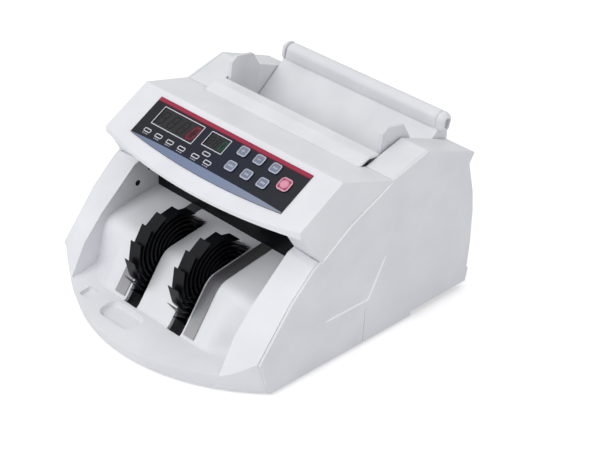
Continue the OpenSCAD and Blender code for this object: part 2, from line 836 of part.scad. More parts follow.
module pinch_rollers() {
    color("dimgray") for (x = [-roller_x, 0, roller_x]) roller(pinch_at, pinch_r, pinch_d, x);
}

// One vane: a spiral from the hub out to a pointed tip
module vane() {
    steps = 9;
    sweep = 92;
    root_r = wheel_hub_r - 1;
    edge = [for (s = [1, -1]) [for (i = [0 : steps])
        let (t = i / steps, r = root_r + (wheel_r - root_r) * t,
            a = -sweep * t + s * (vane_t / 2) * (1 - t) * 180 / (PI * r))
        [r * cos(a), r * sin(a)]]];
    polygon(concat(edge[0], [for (i = [steps - 1 : -1 : 0]) edge[1][i]]));
}

module stacker_wheels() {
    color("black") for (side = [-1, 1]) translate([side * wheel_x - wheel_w / 2, stack_at[0], stack_at[1]])
        rotate([90, 0, 90]) linear_extrude(wheel_w) difference() {
            union() {
                circle(r = wheel_hub_r);
                for (i = [0 : vane_count - 1]) rotate(i * 360 / vane_count) vane();
            }
            circle(d = shaft_d + 2 * static_gap);
        }
}

module belt(p, rp, q, rq, x) {
    clear = 0.3;
    along_x(x, x + belt_w) difference() {
        hull() {
            translate(p) circle(r = rp + clear + belt_t);
            translate(q) circle(r = rq + clear + belt_t);
        }
        hull() {
            translate(p) circle(r = rp + clear);
            translate(q) circle(r = rq + clear);
        }
    }
}

module drive_belts() {
    color("black") {
        belt(motor_at, drive_pulley_r, accel_at, drive_pulley_r, -lane_in - belt_w);
        belt(motor_at, slow_pulley_r, stack_at, stack_pulley_r, -lane_out - belt_w);
        belt_pair_right();
    }
}

module belt_pair_right() {
    belt(accel_at, drive_pulley_r, feed_at, feed_pulley_r, lane_in);
    // round belt between equal pulleys
    d = norm(pickup_at - feed_at);
    a = atan2(pickup_at[1] - feed_at[1], pickup_at[0] - feed_at[0]);
    r = pickup_pulley_r + 0.3;
    translate([0, feed_at[0], feed_at[1]]) rotate([a, 0, 0]) along_x(lane_out, lane_out + belt_w) difference() {
        stadium(r + belt_t, d);
        stadium(r, d);
    }
}

module stadium(r, d) {
    circle(r = r);
    translate([d, 0]) circle(r = r);
    translate([0, -r]) square([d, 2 * r]);
}

module retard_bracket() {
    color("silver") {
        for (s = [-1, 1]) translate([s * (roller_w / 2 + 1.5), 0, 0]) along_x(-0.6, 0.6)
            polygon([[43, 120], [51, 120], [53, 130], [53, 144.5], [44, 143.2], [42, 130]]);
        along_x(-roller_w / 2 - 2, roller_w / 2 + 2) polygon([[44, 143.2], [53, 144.5], [53, 143.3], [44, 142]]);
        rod(retard_at, 4, -roller_w / 2 - 2, roller_w / 2 + 2);
    }
}

module retard_roller() {
    color("saddlebrown") roller(retard_at, retard_r, 4, 0);
}

module uv_lamp() {
    color("lavender") rod([-9.4, 75], 5, -70, 70);
    color("lavender") for (s = [-1, 1]) translate([s * 70, 0, 0]) box([-4, -13.4, 71], [4, -5.4, 79]);
}

module note_sensors() {
    color("black") both_sides() {
        rod(outlet_sensor_at, outlet_sensor_d - 2 * static_gap, tray_x + 0.4, tray_x + 9);
        rod(edge_sensor_at, edge_sensor_d - 2 * static_gap, tray_x + 0.4, tray_x + 8);
    }
}

/* ---- rear sockets ---- */

module power_inlet() {
    x = inlet_at[0];
    z = inlet_at[1];
    color("black") {
        difference() {
            union() {
                box([x - 17, rear_pad_y + static_gap, z - 13], [x + 17, inlet_y, z + 13]);
                box([x - 13.5, inlet_y - inlet_depth, z - 10], [x + 13.5, rear_pad_y + 1, z + 10]);
            }
            box([x - 12, inlet_y - 15, z - 8], [x + 12, inlet_y + 5, z + 8]);
        }
        for (p = [[-7, -1.5], [0, 2.5], [7, -1.5]])
            box([x + p[0] - 1, inlet_y - 16, z + p[1] - 2], [x + p[0] + 1, inlet_y - 4, z + p[1] + 2]);
    }
}

module switch_frame() {
    x = switch_at[0];
    z = switch_at[1];
    color("black") difference() {
        union() {
            box([x - 8, rear_pad_y + static_gap, z - 11.2], [x + 8, rear_pad_y + 1.8, z + 11.2]);
            box([x - 6.4, 126, z - 9.7], [x + 6.4, rear_pad_y + 1, z + 9.7]);
        }
        box([x - 5.1, 128, z - 9], [x + 5.1, 200, z + 9]);
        rod([switch_pivot_y, z], 2 + 2 * running_gap, x - 6, x + 6);
    }
}

switch_pivot_y = 138;
rocker_tilt = 8;

module power_switch() {
    color("darkred") translate([switch_at[0], switch_pivot_y, switch_at[1]]) rotate([-rocker_tilt, 0, 0]) {
        along_x(-4.7, 4.7) polygon([[-4, -4], [2.5, -8], [4.6, -7.6], [3.4, 0], [4.6, 7.6], [2.5, 8], [-4, 4]]);
        rod([0, 0], 2, -5.8, 5.8);
    }
}

/* ---- mains lead ---- */

module lead_connector() {
    x = inlet_at[0];
    z = inlet_at[1];
    color("black") {
        difference() {
            union() {
                box([x - 11.7, inlet_y - 14, z - 7.7], [x + 11.7, inlet_y + 1, z + 7.7]);
                box([x - 13.5, inlet_y + 0.3, z - 9.5], [x + 13.5, 174, z + 9.5]);
            }
            for (p = [[-7, -1.5], [0, 2.5], [7, -1.5]])
                box([x + p[0] - 1.4, inlet_y - 17, z + p[1] - 2.4], [x + p[0] + 1.4, inlet_y - 2, z + p[1] + 2.4]);
        }
        translate([x, 173, z]) rotate([-90, 0, 0]) cylinder(d1 = 15, d2 = 9, h = lead_start - 173);
    }
}

function unit(v) = v / norm(v);

// Round bar along a list of points that never turns straight up or down
module sweep(points, d, sides = 10) {
    last = len(points) - 1;
    loft([for (i = [0 : last])
        let (t = unit(points[min(i + 1, last)] - points[max(i - 1, 0)]), side = unit(cross([0, 0, 1], t)), up = cross(t, side))
        [for (j = [0 : sides - 1]) let (a = -360 * j / sides) points[i] + d / 2 * (cos(a) * side + sin(a) * up)]]);
}

module mains_lead() {
    color("black") {
        sweep(lead_route, lead_d);
        sweep(tail_route, lead_d);
    }
}

module lead_coil() {
    out = coil_out + lead_d / 2;
    in = coil_in - lead_d / 2;
    top = 2 * lead_d;
    color("black") translate([coil_at[0], coil_at[1], 0]) rotate_extrude($fn = 60)
        polygon([[in, 2], [in + 2, 0], [out - 2, 0], [out, 2], [out, top - 2], [out - 2, top], [in + 2, top], [in, top - 2]]);
}

module plug_body() {
    color("black") {
        difference() {
            hull() {
                for (y = [-7.5, 7.5]) translate([plug_x + 14, plug_y + y, plug_z]) rotate([0, 90, 0]) cylinder(d = 12, h = 8, $fn = soft_fn);
                for (y = [-5.5, 5.5]) translate([plug_x + 39, plug_y + y, plug_z]) rotate([0, 90, 0]) cylinder(d = 16, h = 1, $fn = soft_fn);
            }
            for (y = [-1, 0, 1]) rod([plug_y + y * pin_pitch, plug_z], 3 + 2 * static_gap, plug_x + 30, plug_x + 60);
        }
        translate([plug_x, plug_y, plug_z]) rotate([0, 90, 0]) cylinder(d1 = 9, d2 = 12, h = 16);
        for (y = [-1, 1]) difference() {
            rod([plug_y + y * pin_pitch, plug_z], pin_d, plug_x + 39.5, plug_x + 50);
            rod([plug_y + y * pin_pitch, plug_z], 3 + 2 * static_gap, plug_x + 30, plug_x + 60);
        }
    }
}

module plug_pins() {
    color("gold") for (y = [-1, 0, 1]) {
        bare = y == 0 ? plug_x + 40.1 : plug_x + 50.1;
        rod([plug_y + y * pin_pitch, plug_z], 3, plug_x + 32, bare + 1);
        rod([plug_y + y * pin_pitch, plug_z], pin_d, bare, plug_x + 59);
    }
}

base_plate();
rubber_feet();
front_cover();
left_side_panel();
right_side_panel();
control_hood();
hopper_deck();
hopper_front_plate();
rear_lid();
rear_panel();
left_note_guide();
right_note_guide();
guide_rods();
outlet_visor();
tray_rails();
panel_overlay();
count_display();
batch_display();
key_1();
key_2();
key_3();
key_4();
key_5();
key_6();
start_key();
display_board();
left_side_frame();
right_side_frame();
tie_rods();
shaft_bushes();
main_board();
transformer();
drive_motor();
motor_rotor();
accelerator_shaft();
accelerator_rollers();
feed_shaft();
feed_rollers();
pickup_shaft();
pickup_rollers();
stacker_shaft();
stacker_wheels();
drive_belts();
pinch_axle();
pinch_rollers();
retard_bracket();
retard_roller();
gap_screw();
uv_lamp();
note_sensors();
cover_screws();
power_inlet();
switch_frame();
power_switch();
lead_connector();
mains_lead();
lead_coil();
plug_body();
plug_pins();
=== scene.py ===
# Table-top banknote counting machine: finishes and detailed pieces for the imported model.
# Lengths in the settings are millimetres and colours are sRGB hex.
import json
import math
from contextlib import contextmanager

import bmesh
import bpy
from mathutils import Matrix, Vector


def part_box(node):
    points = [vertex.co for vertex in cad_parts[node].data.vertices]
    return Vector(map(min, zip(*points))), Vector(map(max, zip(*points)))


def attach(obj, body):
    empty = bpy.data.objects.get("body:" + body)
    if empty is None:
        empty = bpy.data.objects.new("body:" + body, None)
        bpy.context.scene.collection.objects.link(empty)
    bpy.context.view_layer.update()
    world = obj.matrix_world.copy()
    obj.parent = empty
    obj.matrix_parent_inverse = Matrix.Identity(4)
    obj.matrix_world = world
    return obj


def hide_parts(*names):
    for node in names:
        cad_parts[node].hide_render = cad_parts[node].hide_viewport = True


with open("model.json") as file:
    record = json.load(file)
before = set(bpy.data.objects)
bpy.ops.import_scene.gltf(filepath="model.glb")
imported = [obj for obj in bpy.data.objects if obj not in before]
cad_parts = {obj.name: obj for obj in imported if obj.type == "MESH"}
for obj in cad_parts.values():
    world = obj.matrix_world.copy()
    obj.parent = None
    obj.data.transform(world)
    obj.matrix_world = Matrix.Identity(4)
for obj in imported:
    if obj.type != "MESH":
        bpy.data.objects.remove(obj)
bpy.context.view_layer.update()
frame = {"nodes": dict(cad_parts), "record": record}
nodes = frame["nodes"]
nodeSlots = {part["node"]: part["material_slot"] for part in frame["record"]["subparts"]}
scene = bpy.context.scene
mm = 0.001
print("frame loaded:", len(nodes), "nodes")


# helpers for points, meshes and modifiers

@contextmanager
def editing(piece):
    # the piece's mesh open for editing, written back at the end
    work = bmesh.new()
    work.from_mesh(piece.data)
    yield work
    work.to_mesh(piece.data)
    work.free()


def tempSolid(points, faces, name="tempSolid"):
    # a mesh given in millimetres, its faces turned outwards; under this name it only cuts or joins
    mesh = bpy.data.meshes.new(name)
    mesh.from_pydata([Vector(p) * mm for p in points], [], faces)
    mesh.validate()
    piece = bpy.data.objects.new(name, mesh)
    scene.collection.objects.link(piece)
    with editing(piece) as work:
        bmesh.ops.recalc_face_normals(work, faces=work.faces)
    return piece


def keepPiece(piece, slot, material=None, body="machine", node=None):
    # its finish, by default the slot's own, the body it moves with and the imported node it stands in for
    piece.data.materials.clear()
    piece.data.materials.append(material or slotMaterials[slot])
    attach(piece, body)
    if node:
        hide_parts(node)
    return piece


def addPiece(name, shape, slot, material=None, body="machine", node=None):
    return keepPiece(tempSolid(*shape, name), slot, material, body, node)


def loftRings(rings, loop=False):
    # points and quads that join rings of as many points; the end rings are capped, or joined in a loop
    count, total = len(rings[0]), len(rings)
    faces = []
    for i in range(total if loop else total - 1):
        a, b = i * count, (i + 1) % total * count
        for j in range(count):
            k = (j + 1) % count
            faces.append((a + j, a + k, b + k, b + j))
    if not loop:
        faces += [tuple(range(count - 1, -1, -1)), tuple(range((total - 1) * count, total * count))]
    return [p for ring in rings for p in ring], faces


def joinShapes(shapes):
    points, faces = [], []
    for some, quads in shapes:
        base = len(points)
        points += some
        faces += [tuple(base + k for k in quad) for quad in quads]
    return points, faces


def circle(count):
    return [(math.cos(math.tau * i / count), math.sin(math.tau * i / count)) for i in range(count)]


def roundedRect(cx, cy, w, h, r, steps=6):
    loop = []
    for sx, sy, start in ((1, 1, 0), (-1, 1, 90), (-1, -1, 180), (1, -1, 270)):
        for i in range(steps + 1):
            a = math.radians(start + 90 * i / steps)
            loop.append((cx + sx * (w / 2 - r) + r * math.cos(a), cy + sy * (h / 2 - r) + r * math.sin(a)))
    return loop


def extrudeX(outline, x0, x1):
    # outline is a list of (y, z)
    return loftRings([[(x, y, z) for y, z in outline] for x in (x0, x1)])


def boxMesh(low, high):
    (x0, y0, z0), (x1, y1, z1) = low, high
    return extrudeX([(y0, z0), (y1, z0), (y1, z1), (y0, z1)], x0, x1)


def discTool(y, z, diameter, x0, x1):
    r = diameter / 2
    return tempSolid(*extrudeX([(y + r * c, z + r * s) for c, s in circle(28)], x0, x1))


def combine(piece, tools, operation):
    # one exact boolean for each tool, which is then deleted
    for tool in tools:
        step = piece.modifiers.new("cut", "BOOLEAN")
        step.operation = operation
        step.solver = "EXACT"
        step.object = tool
        made = bpy.data.meshes.new_from_object(piece.evaluated_get(bpy.context.evaluated_depsgraph_get()))
        piece.modifiers.clear()
        spent = [piece.data, tool.data]
        piece.data = made
        bpy.data.objects.remove(tool)
        for mesh in spent:
            bpy.data.meshes.remove(mesh)
    return piece


def shadeByAngle(mesh, angle):
    mesh.shade_smooth()
    mesh.set_sharp_from_angle(angle=math.radians(angle))


def addWeld(piece, distance):
    piece.modifiers.new("weld", "WELD").merge_threshold = distance * mm


def addBevel(piece, width, segments, angle):
    # rounds every edge sharper than angle, or with no angle each marked edge by its weight
    bevel = piece.modifiers.new("round", "BEVEL")
    bevel.width = width * mm
    bevel.segments = segments
    bevel.limit_method = "ANGLE" if angle else "WEIGHT"
    bevel.angle_limit = math.radians(angle)
    return bevel


def roundEdges(piece, width, segments=3, angle=28, weld=True):
    if weld:
        addWeld(piece, 0.02)
    addBevel(piece, width, segments, angle).miter_outer = "MITER_ARC"
    even = piece.modifiers.new("even", "WEIGHTED_NORMAL")
    even.keep_sharp = True
    even.weight = 60


def smoothCurve(points, steps):
    # Catmull-Rom through the points
    out = []
    last = len(points) - 1
    for i in range(last):
        p0, p1, p2, p3 = (Vector(points[min(max(k, 0), last)]) for k in range(i - 1, i + 3))
        for k in range(steps):
            t = k / steps
            out.append(0.5 * (2 * p1 + (p2 - p0) * t + (2 * p0 - 5 * p1 + 4 * p2 - p3) * t * t
                              + (3 * p1 - p0 - 3 * p2 + p3) * t ** 3))
    return out + [Vector(points[-1])]


def headings(path):
    # unit direction of travel at each point of a path
    return [(Vector(b) - Vector(a)).normalized()
            for a, b in zip(path[:1] + path[:-1], path[1:] + path[-1:])]


def between(value, table):
    # straight-line value from a table of (place, value) pairs
    if value <= table[0][0]:
        return table[0][1]
    for (a, va), (b, vb) in zip(table, table[1:]):
        if value <= b:
            return va + (vb - va) * (value - a) / (b - a)
    return table[-1][1]


def easeStep(value, low, high):
    t = min(1, max(0, (value - low) / (high - low)))
    return t * t * (3 - 2 * t)


# camera

cameraPlace = dict(eye=(913.8, -799.0, 803.9), target=(0, 64.2, 25.3), lens=101.325, sensor=36,
                   near=0.05, far=20)


def aimFrom(thing, eye, target):
    thing.location = Vector(eye) * mm
    thing.rotation_euler = (Vector(target) - Vector(eye)).to_track_quat("-Z", "Y").to_euler()
    scene.collection.objects.link(thing)


def setCamera(place):
    data = bpy.data.cameras.new("camera")
    data.lens = place["lens"]
    data.sensor_width = place["sensor"]
    data.clip_start, data.clip_end = place["near"], place["far"]
    camera = bpy.data.objects.new("camera", data)
    aimFrom(camera, place["eye"], place["target"])
    scene.camera = camera


setCamera(cameraPlace)


# helpers for materials

def hexColor(text):
    # sRGB hex to the linear colour that the shaders take
    channels = [int(text[i:i + 2], 16) / 255 for i in (1, 3, 5)]
    return tuple(c / 12.92 if c <= 0.04045 else ((c + 0.055) / 1.055) ** 2.4 for c in channels) + (1,)


def addNode(tree, kind, inputs=None, stops=(), **settings):
    # an input is a socket to link, a value or a hex colour; stops are (place, colour) of a ramp's first
    # stop, of its last, then of one between them
    made = tree.nodes.new("ShaderNode" + kind)
    for name, value in settings.items():
        setattr(made, name, value)
    for key, value in (inputs or {}).items():
        if isinstance(value, bpy.types.NodeSocket):
            tree.links.new(value, made.inputs[key])
        else:
            made.inputs[key].default_value = hexColor(value) if isinstance(value, str) else value
    for k, (at, color) in enumerate(stops):
        stop = made.color_ramp.elements[k] if k < 2 else made.color_ramp.elements.new(at)
        stop.position = at
        stop.color = hexColor(color)
    return made


def newMaterial(name, surface):
    # surface holds the Principled shader's own constants
    material = bpy.data.materials.new(name)
    material.use_nodes = True
    tree = material.node_tree
    tree.nodes.clear()
    shader = addNode(tree, "BsdfPrincipled", surface)
    addNode(tree, "OutputMaterial", {"Surface": shader.outputs[0]})
    return material, tree, shader, addNode(tree, "TexCoord").outputs["Object"]


def connect(tree, shader, tone=None, gloss=None, relief=None):
    for key, node in (("Base Color", tone), ("Roughness", gloss), ("Normal", relief)):
        if node:
            tree.links.new(node.outputs[0], shader.inputs[key])


# sizes of the soft patterns in millimetres, and half the width that the printed tones run over
pattern = dict(mottle=38, wiping=9, ink=14, inkHalf=92, paper=2)


def mouldedPlastic(name, color, shade, rough, grainMm, grainDepth, ior=1.5, shine=0.5):
    # moulded plastic: a spark-eroded skin, a faint drift of tone and of gloss
    material, tree, shader, place = newMaterial(name, {"IOR": ior, "Specular IOR Level": shine})
    mottle = addNode(tree, "TexNoise", {"Vector": place, "Scale": 1 / (pattern["mottle"] * mm), "Detail": 3})
    drift = mottle.outputs["Fac"]
    tone = addNode(tree, "ValToRGB", {"Fac": drift}, stops=((0.3, shade), (0.68, color)))
    gloss = addNode(tree, "MapRange", {"Value": drift, "From Min": 0.3, "From Max": 0.7,
                                       "To Min": rough - 0.03, "To Max": rough + 0.04})
    grain = addNode(tree, "TexNoise", {"Vector": place, "Scale": 1 / (grainMm * mm), "Detail": 2})
    relief = addNode(tree, "Bump", {"Height": grain.outputs["Fac"], "Strength": 0.35,
                                    "Distance": grainDepth * mm})
    connect(tree, shader, tone, gloss, relief)
    return material


def rolledMetal(name, color, shade, rough, lineMm, stretch, depth, axis=0):
    # metal with fine lines along one axis: drawn, ground or brushed
    material, tree, shader, place = newMaterial(name, {"Metallic": 1.0})
    scale = [1 / (lineMm * mm)] * 3
    scale[axis] /= stretch
    stretched = addNode(tree, "Mapping", {"Vector": place, "Scale": scale}).outputs["Vector"]
    lines = addNode(tree, "TexNoise", {"Vector": stretched, "Scale": 1.0, "Detail": 3}).outputs["Fac"]
    tone = addNode(tree, "ValToRGB", {"Fac": lines}, stops=((0.32, shade), (0.66, color)))
    gloss = addNode(tree, "MapRange", {"Value": lines, "From Min": 0.3, "From Max": 0.7,
                                       "To Min": rough - 0.05, "To Max": rough + 0.08})
    relief = addNode(tree, "Bump", {"Height": lines, "Strength": 0.4, "Distance": depth * mm})
    connect(tree, shader, tone, gloss, relief)
    return material


def castMetal(name, color, shade, rough, grainMm, depth):
    # sintered or cast metal: an even pitted skin
    material, tree, shader, place = newMaterial(name, {"Metallic": 1.0})
    pits = addNode(tree, "TexVoronoi", {"Vector": place, "Scale": 1 / (grainMm * mm)}).outputs["Distance"]
    tone = addNode(tree, "ValToRGB", {"Fac": pits}, stops=((0.1, color), (0.8, shade)))
    gloss = addNode(tree, "MapRange", {"Value": pits, "To Min": rough - 0.06, "To Max": rough + 0.08})
    relief = addNode(tree, "Bump", {"Height": pits, "Strength": 0.3, "Distance": depth * mm})
    connect(tree, shader, tone, gloss, relief)
    return material


def circuitLaminate(name, color, shade, pad, traceMm):
    # glass-fibre laminate under solder mask: satin green with slightly raised copper runs
    material, tree, shader, place = newMaterial(name, {"IOR": 1.52, "Roughness": 0.34})
    runs = addNode(tree, "TexBrick", {"Vector": place, "Scale": 1 / (traceMm * mm), "Mortar Size": 0.06,
                                      "Color1": color, "Color2": shade, "Mortar": pad,
                                      "Brick Width": 3.0, "Row Height": 1.0})
    relief = addNode(tree, "Bump", {"Height": runs.outputs["Fac"], "Strength": 0.5, "Distance": 0.05 * mm})
    connect(tree, shader, runs, relief=relief)
    return material


def tintedWindow(name, color, shade, rough):
    # smoked acrylic: glossy and nearly black, with a faint haze of wiping marks
    material, tree, shader, place = newMaterial(name, {"IOR": 1.49, "Specular IOR Level": 0.26,
                                                       "Coat Weight": 0.22, "Coat Roughness": 0.04})
    marks = addNode(tree, "TexNoise", {"Vector": place, "Scale": 1 / (pattern["wiping"] * mm), "Detail": 4})
    haze = marks.outputs["Fac"]
    tone = addNode(tree, "MixRGB", {"Fac": haze, "Color1": color, "Color2": shade})
    gloss = addNode(tree, "MapRange", {"Value": haze, "To Min": rough - 0.04, "To Max": rough + 0.1})
    connect(tree, shader, tone, gloss)
    return material


def printedInk(name, color, shade, rough, ramp=None, glow=0.0):
    # screen-printed ink under film: satin, with a slow drift of density; ramp is tones from left to right
    material, tree, shader, place = newMaterial(name, {"IOR": 1.6, "Specular IOR Level": 0.16})
    cloud = addNode(tree, "TexNoise", {"Vector": place, "Scale": 1 / (pattern["ink"] * mm), "Detail": 3})
    density = cloud.outputs["Fac"]
    tone = addNode(tree, "MixRGB", {"Fac": density, "Color1": color, "Color2": shade})
    if ramp:
        across = addNode(tree, "SeparateXYZ", {"Vector": place})
        half = pattern["inkHalf"] * mm
        part = addNode(tree, "MapRange", {"Value": across.outputs["X"], "From Min": -half, "From Max": half})
        bands = addNode(tree, "ValToRGB", {"Fac": part.outputs["Result"]},
                        stops=((0, ramp[0]), (1, ramp[2]), (0.55, ramp[1])))
        tone = addNode(tree, "MixRGB", {"Fac": 0.82, "Color1": tone.outputs[0], "Color2": bands.outputs[0]})
    gloss = addNode(tree, "MapRange", {"Value": density, "To Min": rough - 0.05, "To Max": rough + 0.07})
    connect(tree, shader, tone, gloss)
    if glow:
        shader.inputs["Emission Color"].default_value = hexColor(color)
        shader.inputs["Emission Strength"].default_value = glow
    return material


# brushed lines in each millimetre across the strip and along it, and the heights its painted shade runs
# between
stripShade = dict(perMm=(2.2, 0.03, 0.03), foot=26, top=68)


def shadedStrip(name):
    # brushed spring steel: grey and lined at the foot, darkened towards the top by painted shade under the
    # hood
    material, tree, shader, place = newMaterial(name, {"Metallic": 0.35, "Specular IOR Level": 0.3})
    scale = [count / mm for count in stripShade["perMm"]]
    stretched = addNode(tree, "Mapping", {"Vector": place, "Scale": scale}).outputs["Vector"]
    lines = addNode(tree, "TexNoise", {"Vector": stretched, "Scale": 1.0, "Detail": 3})
    height = addNode(tree, "SeparateXYZ", {"Vector": place})
    part = addNode(tree, "MapRange", {"Value": height.outputs["Z"], "From Min": stripShade["foot"] * mm,
                                      "From Max": stripShade["top"] * mm})
    # painted shade: the ramp darkens the strip from its foot to its top
    shade = addNode(tree, "ValToRGB", {"Fac": part.outputs["Result"]},
                    stops=((0, "#8B8B91"), (1, "#131418"), (0.6, "#6A6A70")))
    tone = addNode(tree, "MixRGB", {"Fac": 0.18, "Color1": shade.outputs[0], "Color2": lines.outputs["Color"]})
    gloss = addNode(tree, "MapRange", {"Value": lines.outputs["Fac"], "From Min": 0.3, "From Max": 0.7,
                                       "To Min": 0.36, "To Max": 0.5})
    connect(tree, shader, tone, gloss)
    return material


# finishes, one for each material slot of the record

slotMaterials = dict(
    # injection-moulded ABS, warm light grey: satin, with a fine even spark-eroded grain
    cover_plastic=mouldedPlastic("mouldedAbs", "#E4E5EA", "#DDDEE3", 0.42, 0.9, 0.05),
    # powder-coated steel sheet: a little cooler and duller, orange peel about 2 mm across
    painted_steel=mouldedPlastic("powderCoat", "#D8DADF", "#CFD1D7", 0.5, 2.0, 0.08),
    # side mouldings in the same ABS, from another tool with a coarser grain
    side_plastic=mouldedPlastic("sideAbs", "#E0E1E6", "#D8D9DF", 0.46, 1.1, 0.06),
    # hopper mouldings: the same ABS, polished by the notes that slide on them
    hopper_plastic=mouldedPlastic("hopperAbs", "#E3E4E8", "#DADBE0", 0.38, 0.9, 0.04),
    # note guides in ABS with a tighter grain: a shade greyer than the hopper
    guide_plastic=mouldedPlastic("guideAbs", "#DCDDE2", "#D2D3D9", 0.4, 0.7, 0.04),
    # black polystyrene: deep, glossy where touched
    black_plastic=mouldedPlastic("blackStyrene", "#08090C", "#0D0E12", 0.32, 0.8, 0.03, 1.59, shine=0.12),
    # acetal vanes: black and slippery, with a waxy shine
    vane_plastic=mouldedPlastic("blackAcetal", "#08090C", "#0D0E12", 0.3, 1.2, 0.02, 1.48, shine=0.16),
    # nitrile rubber on the rollers: dark grey and matt with a ground skin
    roller_rubber=mouldedPlastic("groundNitrile", "#2A2B2E", "#222326", 0.72, 0.6, 0.08, ior=1.52),
    # feed rubber: ochre natural rubber, matt
    feed_rubber=mouldedPlastic("feedRubber", "#8C6A45", "#7A5B3A", 0.68, 0.7, 0.09, ior=1.52),
    # feet: black rubber with a chalky bloom
    foot_rubber=mouldedPlastic("footRubber", "#26272A", "#303135", 0.78, 0.8, 0.1, ior=1.52),
    # lead jacket: soft PVC, black, a low even sheen
    lead_plastic=mouldedPlastic("softPvc", "#17181B", "#1E1F23", 0.42, 0.7, 0.03, ior=1.53),
    # switch rocker: red polycarbonate, smooth and clear in colour
    switch_red=mouldedPlastic("redPolycarbonate", "#B3202A", "#A11B25", 0.2, 1.0, 0.01, ior=1.58),
    # silicone key domes under film: blue-grey, satin
    key_dome=mouldedPlastic("keyFilm", "#767F92", "#6F788B", 0.34, 0.6, 0.02, shine=0.35),
    # start key dome: rose red under the same film
    start_key_dome=mouldedPlastic("startFilm", "#B96680", "#AF5B76", 0.3, 0.6, 0.02, shine=0.35),
    # bright-drawn steel rods and shafts: fine lines along the bar
    bright_steel=rolledMetal("drawnSteel", "#C9CBCF", "#AEB1B6", 0.24, 0.5, 60, 0.01),
    # zinc-plated fixings: a cool even shine with fine turning lines
    plated_steel=rolledMetal("zincPlate", "#C4C7CC", "#A9ADB3", 0.3, 0.4, 12, 0.01, axis=2),
    # brushed trim strip: lines along the strip
    brushed_strip=rolledMetal("brushedSteel", "#9A9DA3", "#74777E", 0.34, 0.4, 80, 0.015, axis=1),
    # sintered bronze bushes: brown gold and finely pitted
    bush_bronze=castMetal("sinteredBronze", "#A9814B", "#7E5D33", 0.42, 0.5, 0.05),
    # laminated core steel: dark, lines every half millimetre across the stack
    core_steel=rolledMetal("coreLamination", "#5A5D63", "#3F4247", 0.48, 0.5, 90, 0.06, axis=1),
    # motor can: passivated steel, grey with a faint drift
    motor_steel=rolledMetal("motorSteel", "#8E9298", "#7B7F86", 0.36, 0.6, 30, 0.02),
    # nickel-plated brass pins: pale and smooth
    pin_metal=rolledMetal("nickelPin", "#D3D0C6", "#BBB7AC", 0.22, 0.4, 40, 0.005, axis=1),
    # ultraviolet lamp glass: dark violet and very smooth
    lamp_glass=tintedWindow("lampGlass", "#2C2440", "#372E4E", 0.08),
    # display windows: smoked acrylic over the digits
    digit_window=tintedWindow("smokedAcrylic", "#0D0E13", "#14151B", 0.12),
    # printed overlay: polyester film over dark ink, satin
    overlay_film=mouldedPlastic("printedFilm", "#24272F", "#2A2D36", 0.33, 1.4, 0.012, 1.6, shine=0.25),
    # circuit boards: green solder mask with paler runs
    circuit_board=circuitLaminate("boardLaminate", "#1F5B3A", "#1B5033", "#2E7A4C", 4.0))
slotMaterials["batch_window"] = slotMaterials["digit_window"]

# finishes of small parts and of the worked surfaces

# hook-and-loop band: black woven nylon, fully matt with a coarse weave
wovenNylon = mouldedPlastic("wovenNylon", "#191A1D", "#232428", 0.85, 0.7, 0.2, ior=1.53)
# raised lines on the side mouldings: the same ABS painted paler, a painted highlight along the lines
paintedHighlightAbs = mouldedPlastic("paintedHighlightAbs", "#FAFAFD", "#F3F4F8", 0.36, 1.1, 0.02)
# strips beside the wheels: grey at the foot, nearly black at the top, a painted shade under the hood
springStrip = shadedStrip("springStrip")

# inks of the overlay: night-blue ground, red band with its dark line, pale crescent, white and grey lines
inkNight = printedInk("inkNight", "#121419", "#171A21", 0.36, ramp=("#13151A", "#0F172B", "#1E2026"))
inkCrimson = printedInk("inkCrimson", "#A52C49", "#98253F", 0.34)
inkWine = printedInk("inkWine", "#47111F", "#3C0D19", 0.36)
inkSteelBlue = printedInk("inkSteelBlue", "#75829F", "#7C88A2", 0.34, ramp=("#6B7893", "#7885A1", "#8A919F"))
inkWhite = printedInk("inkWhite", "#CDCED5", "#C3C4CC", 0.4)
inkGrey = printedInk("inkGrey", "#A4A8B6", "#969AAA", 0.42)
# segments: lit ones glow dimly behind the window in their own haze, the others are just darker than it
litRed = printedInk("litRed", "#7C2233", "#6A1A2A", 0.3, glow=0.04)
litGreen = printedInk("litGreen", "#1B5540", "#174837", 0.3, glow=0.015)
hazeRed = printedInk("hazeRed", "#401420", "#361019", 0.3)
hazeGreen = printedInk("hazeGreen", "#142E25", "#11281F", 0.3)
unlitSegment = printedInk("unlitSegment", "#16161A", "#131316", 0.32)
# print on the keys: pale rims and marks, and on the start key a pale disc between darker corners
keyRim = printedInk("keyRim", "#B2B6C8", "#A9ADC0", 0.34)
keyMark = printedInk("keyMark", "#B6BACB", "#ABAFC2", 0.36)
startRim = printedInk("startRim", "#DDA5B6", "#D397A9", 0.34)
startCorner = printedInk("startCorner", "#9E4863", "#923F59", 0.36)
startMark = printedInk("startMark", "#DC9BAE", "#D18DA1", 0.36)

print("materials made:", len(bpy.data.materials))


# mains lead: from the connector into a coil of two layers, then out to the plug

lead = dict(bore=7.0, exit=(-20, 203, 22), layers=(3.5, 10.6), laneEnds=(300, 660, 1260, 1620),
            lanes=(44, 36.9, 29.8, 36.9, 44), centre=(-80, 206), start=80, cross=100, climb=960, stop=1970,
            perTurn=24)
leadRoute = [(-20, 203, 22), (-20.2, 209.5, 21.7), (-21.2, 216, 20.7), (-23.4, 222.6, 18.8),
             (-27.2, 229, 16), (-32.8, 235.2, 12.6), (-40.2, 240.6, 9.2), (-49.4, 245, 6.2),
             (-60, 248, 4.2), (-72.4, 249.3, 3.5)]
leadTail = [(-95, 164.6, 10.6), (-86, 161.2, 10.6), (-76, 158.6, 10.4), (-64, 157.4, 8.8), (-52, 157.2, 6),
            (-40, 157.6, 4), (-27, 158.4, 3.5), (-13, 159, 4.2), (0, 159, 6.8), (8, 159, 8), (14, 159, 8)]


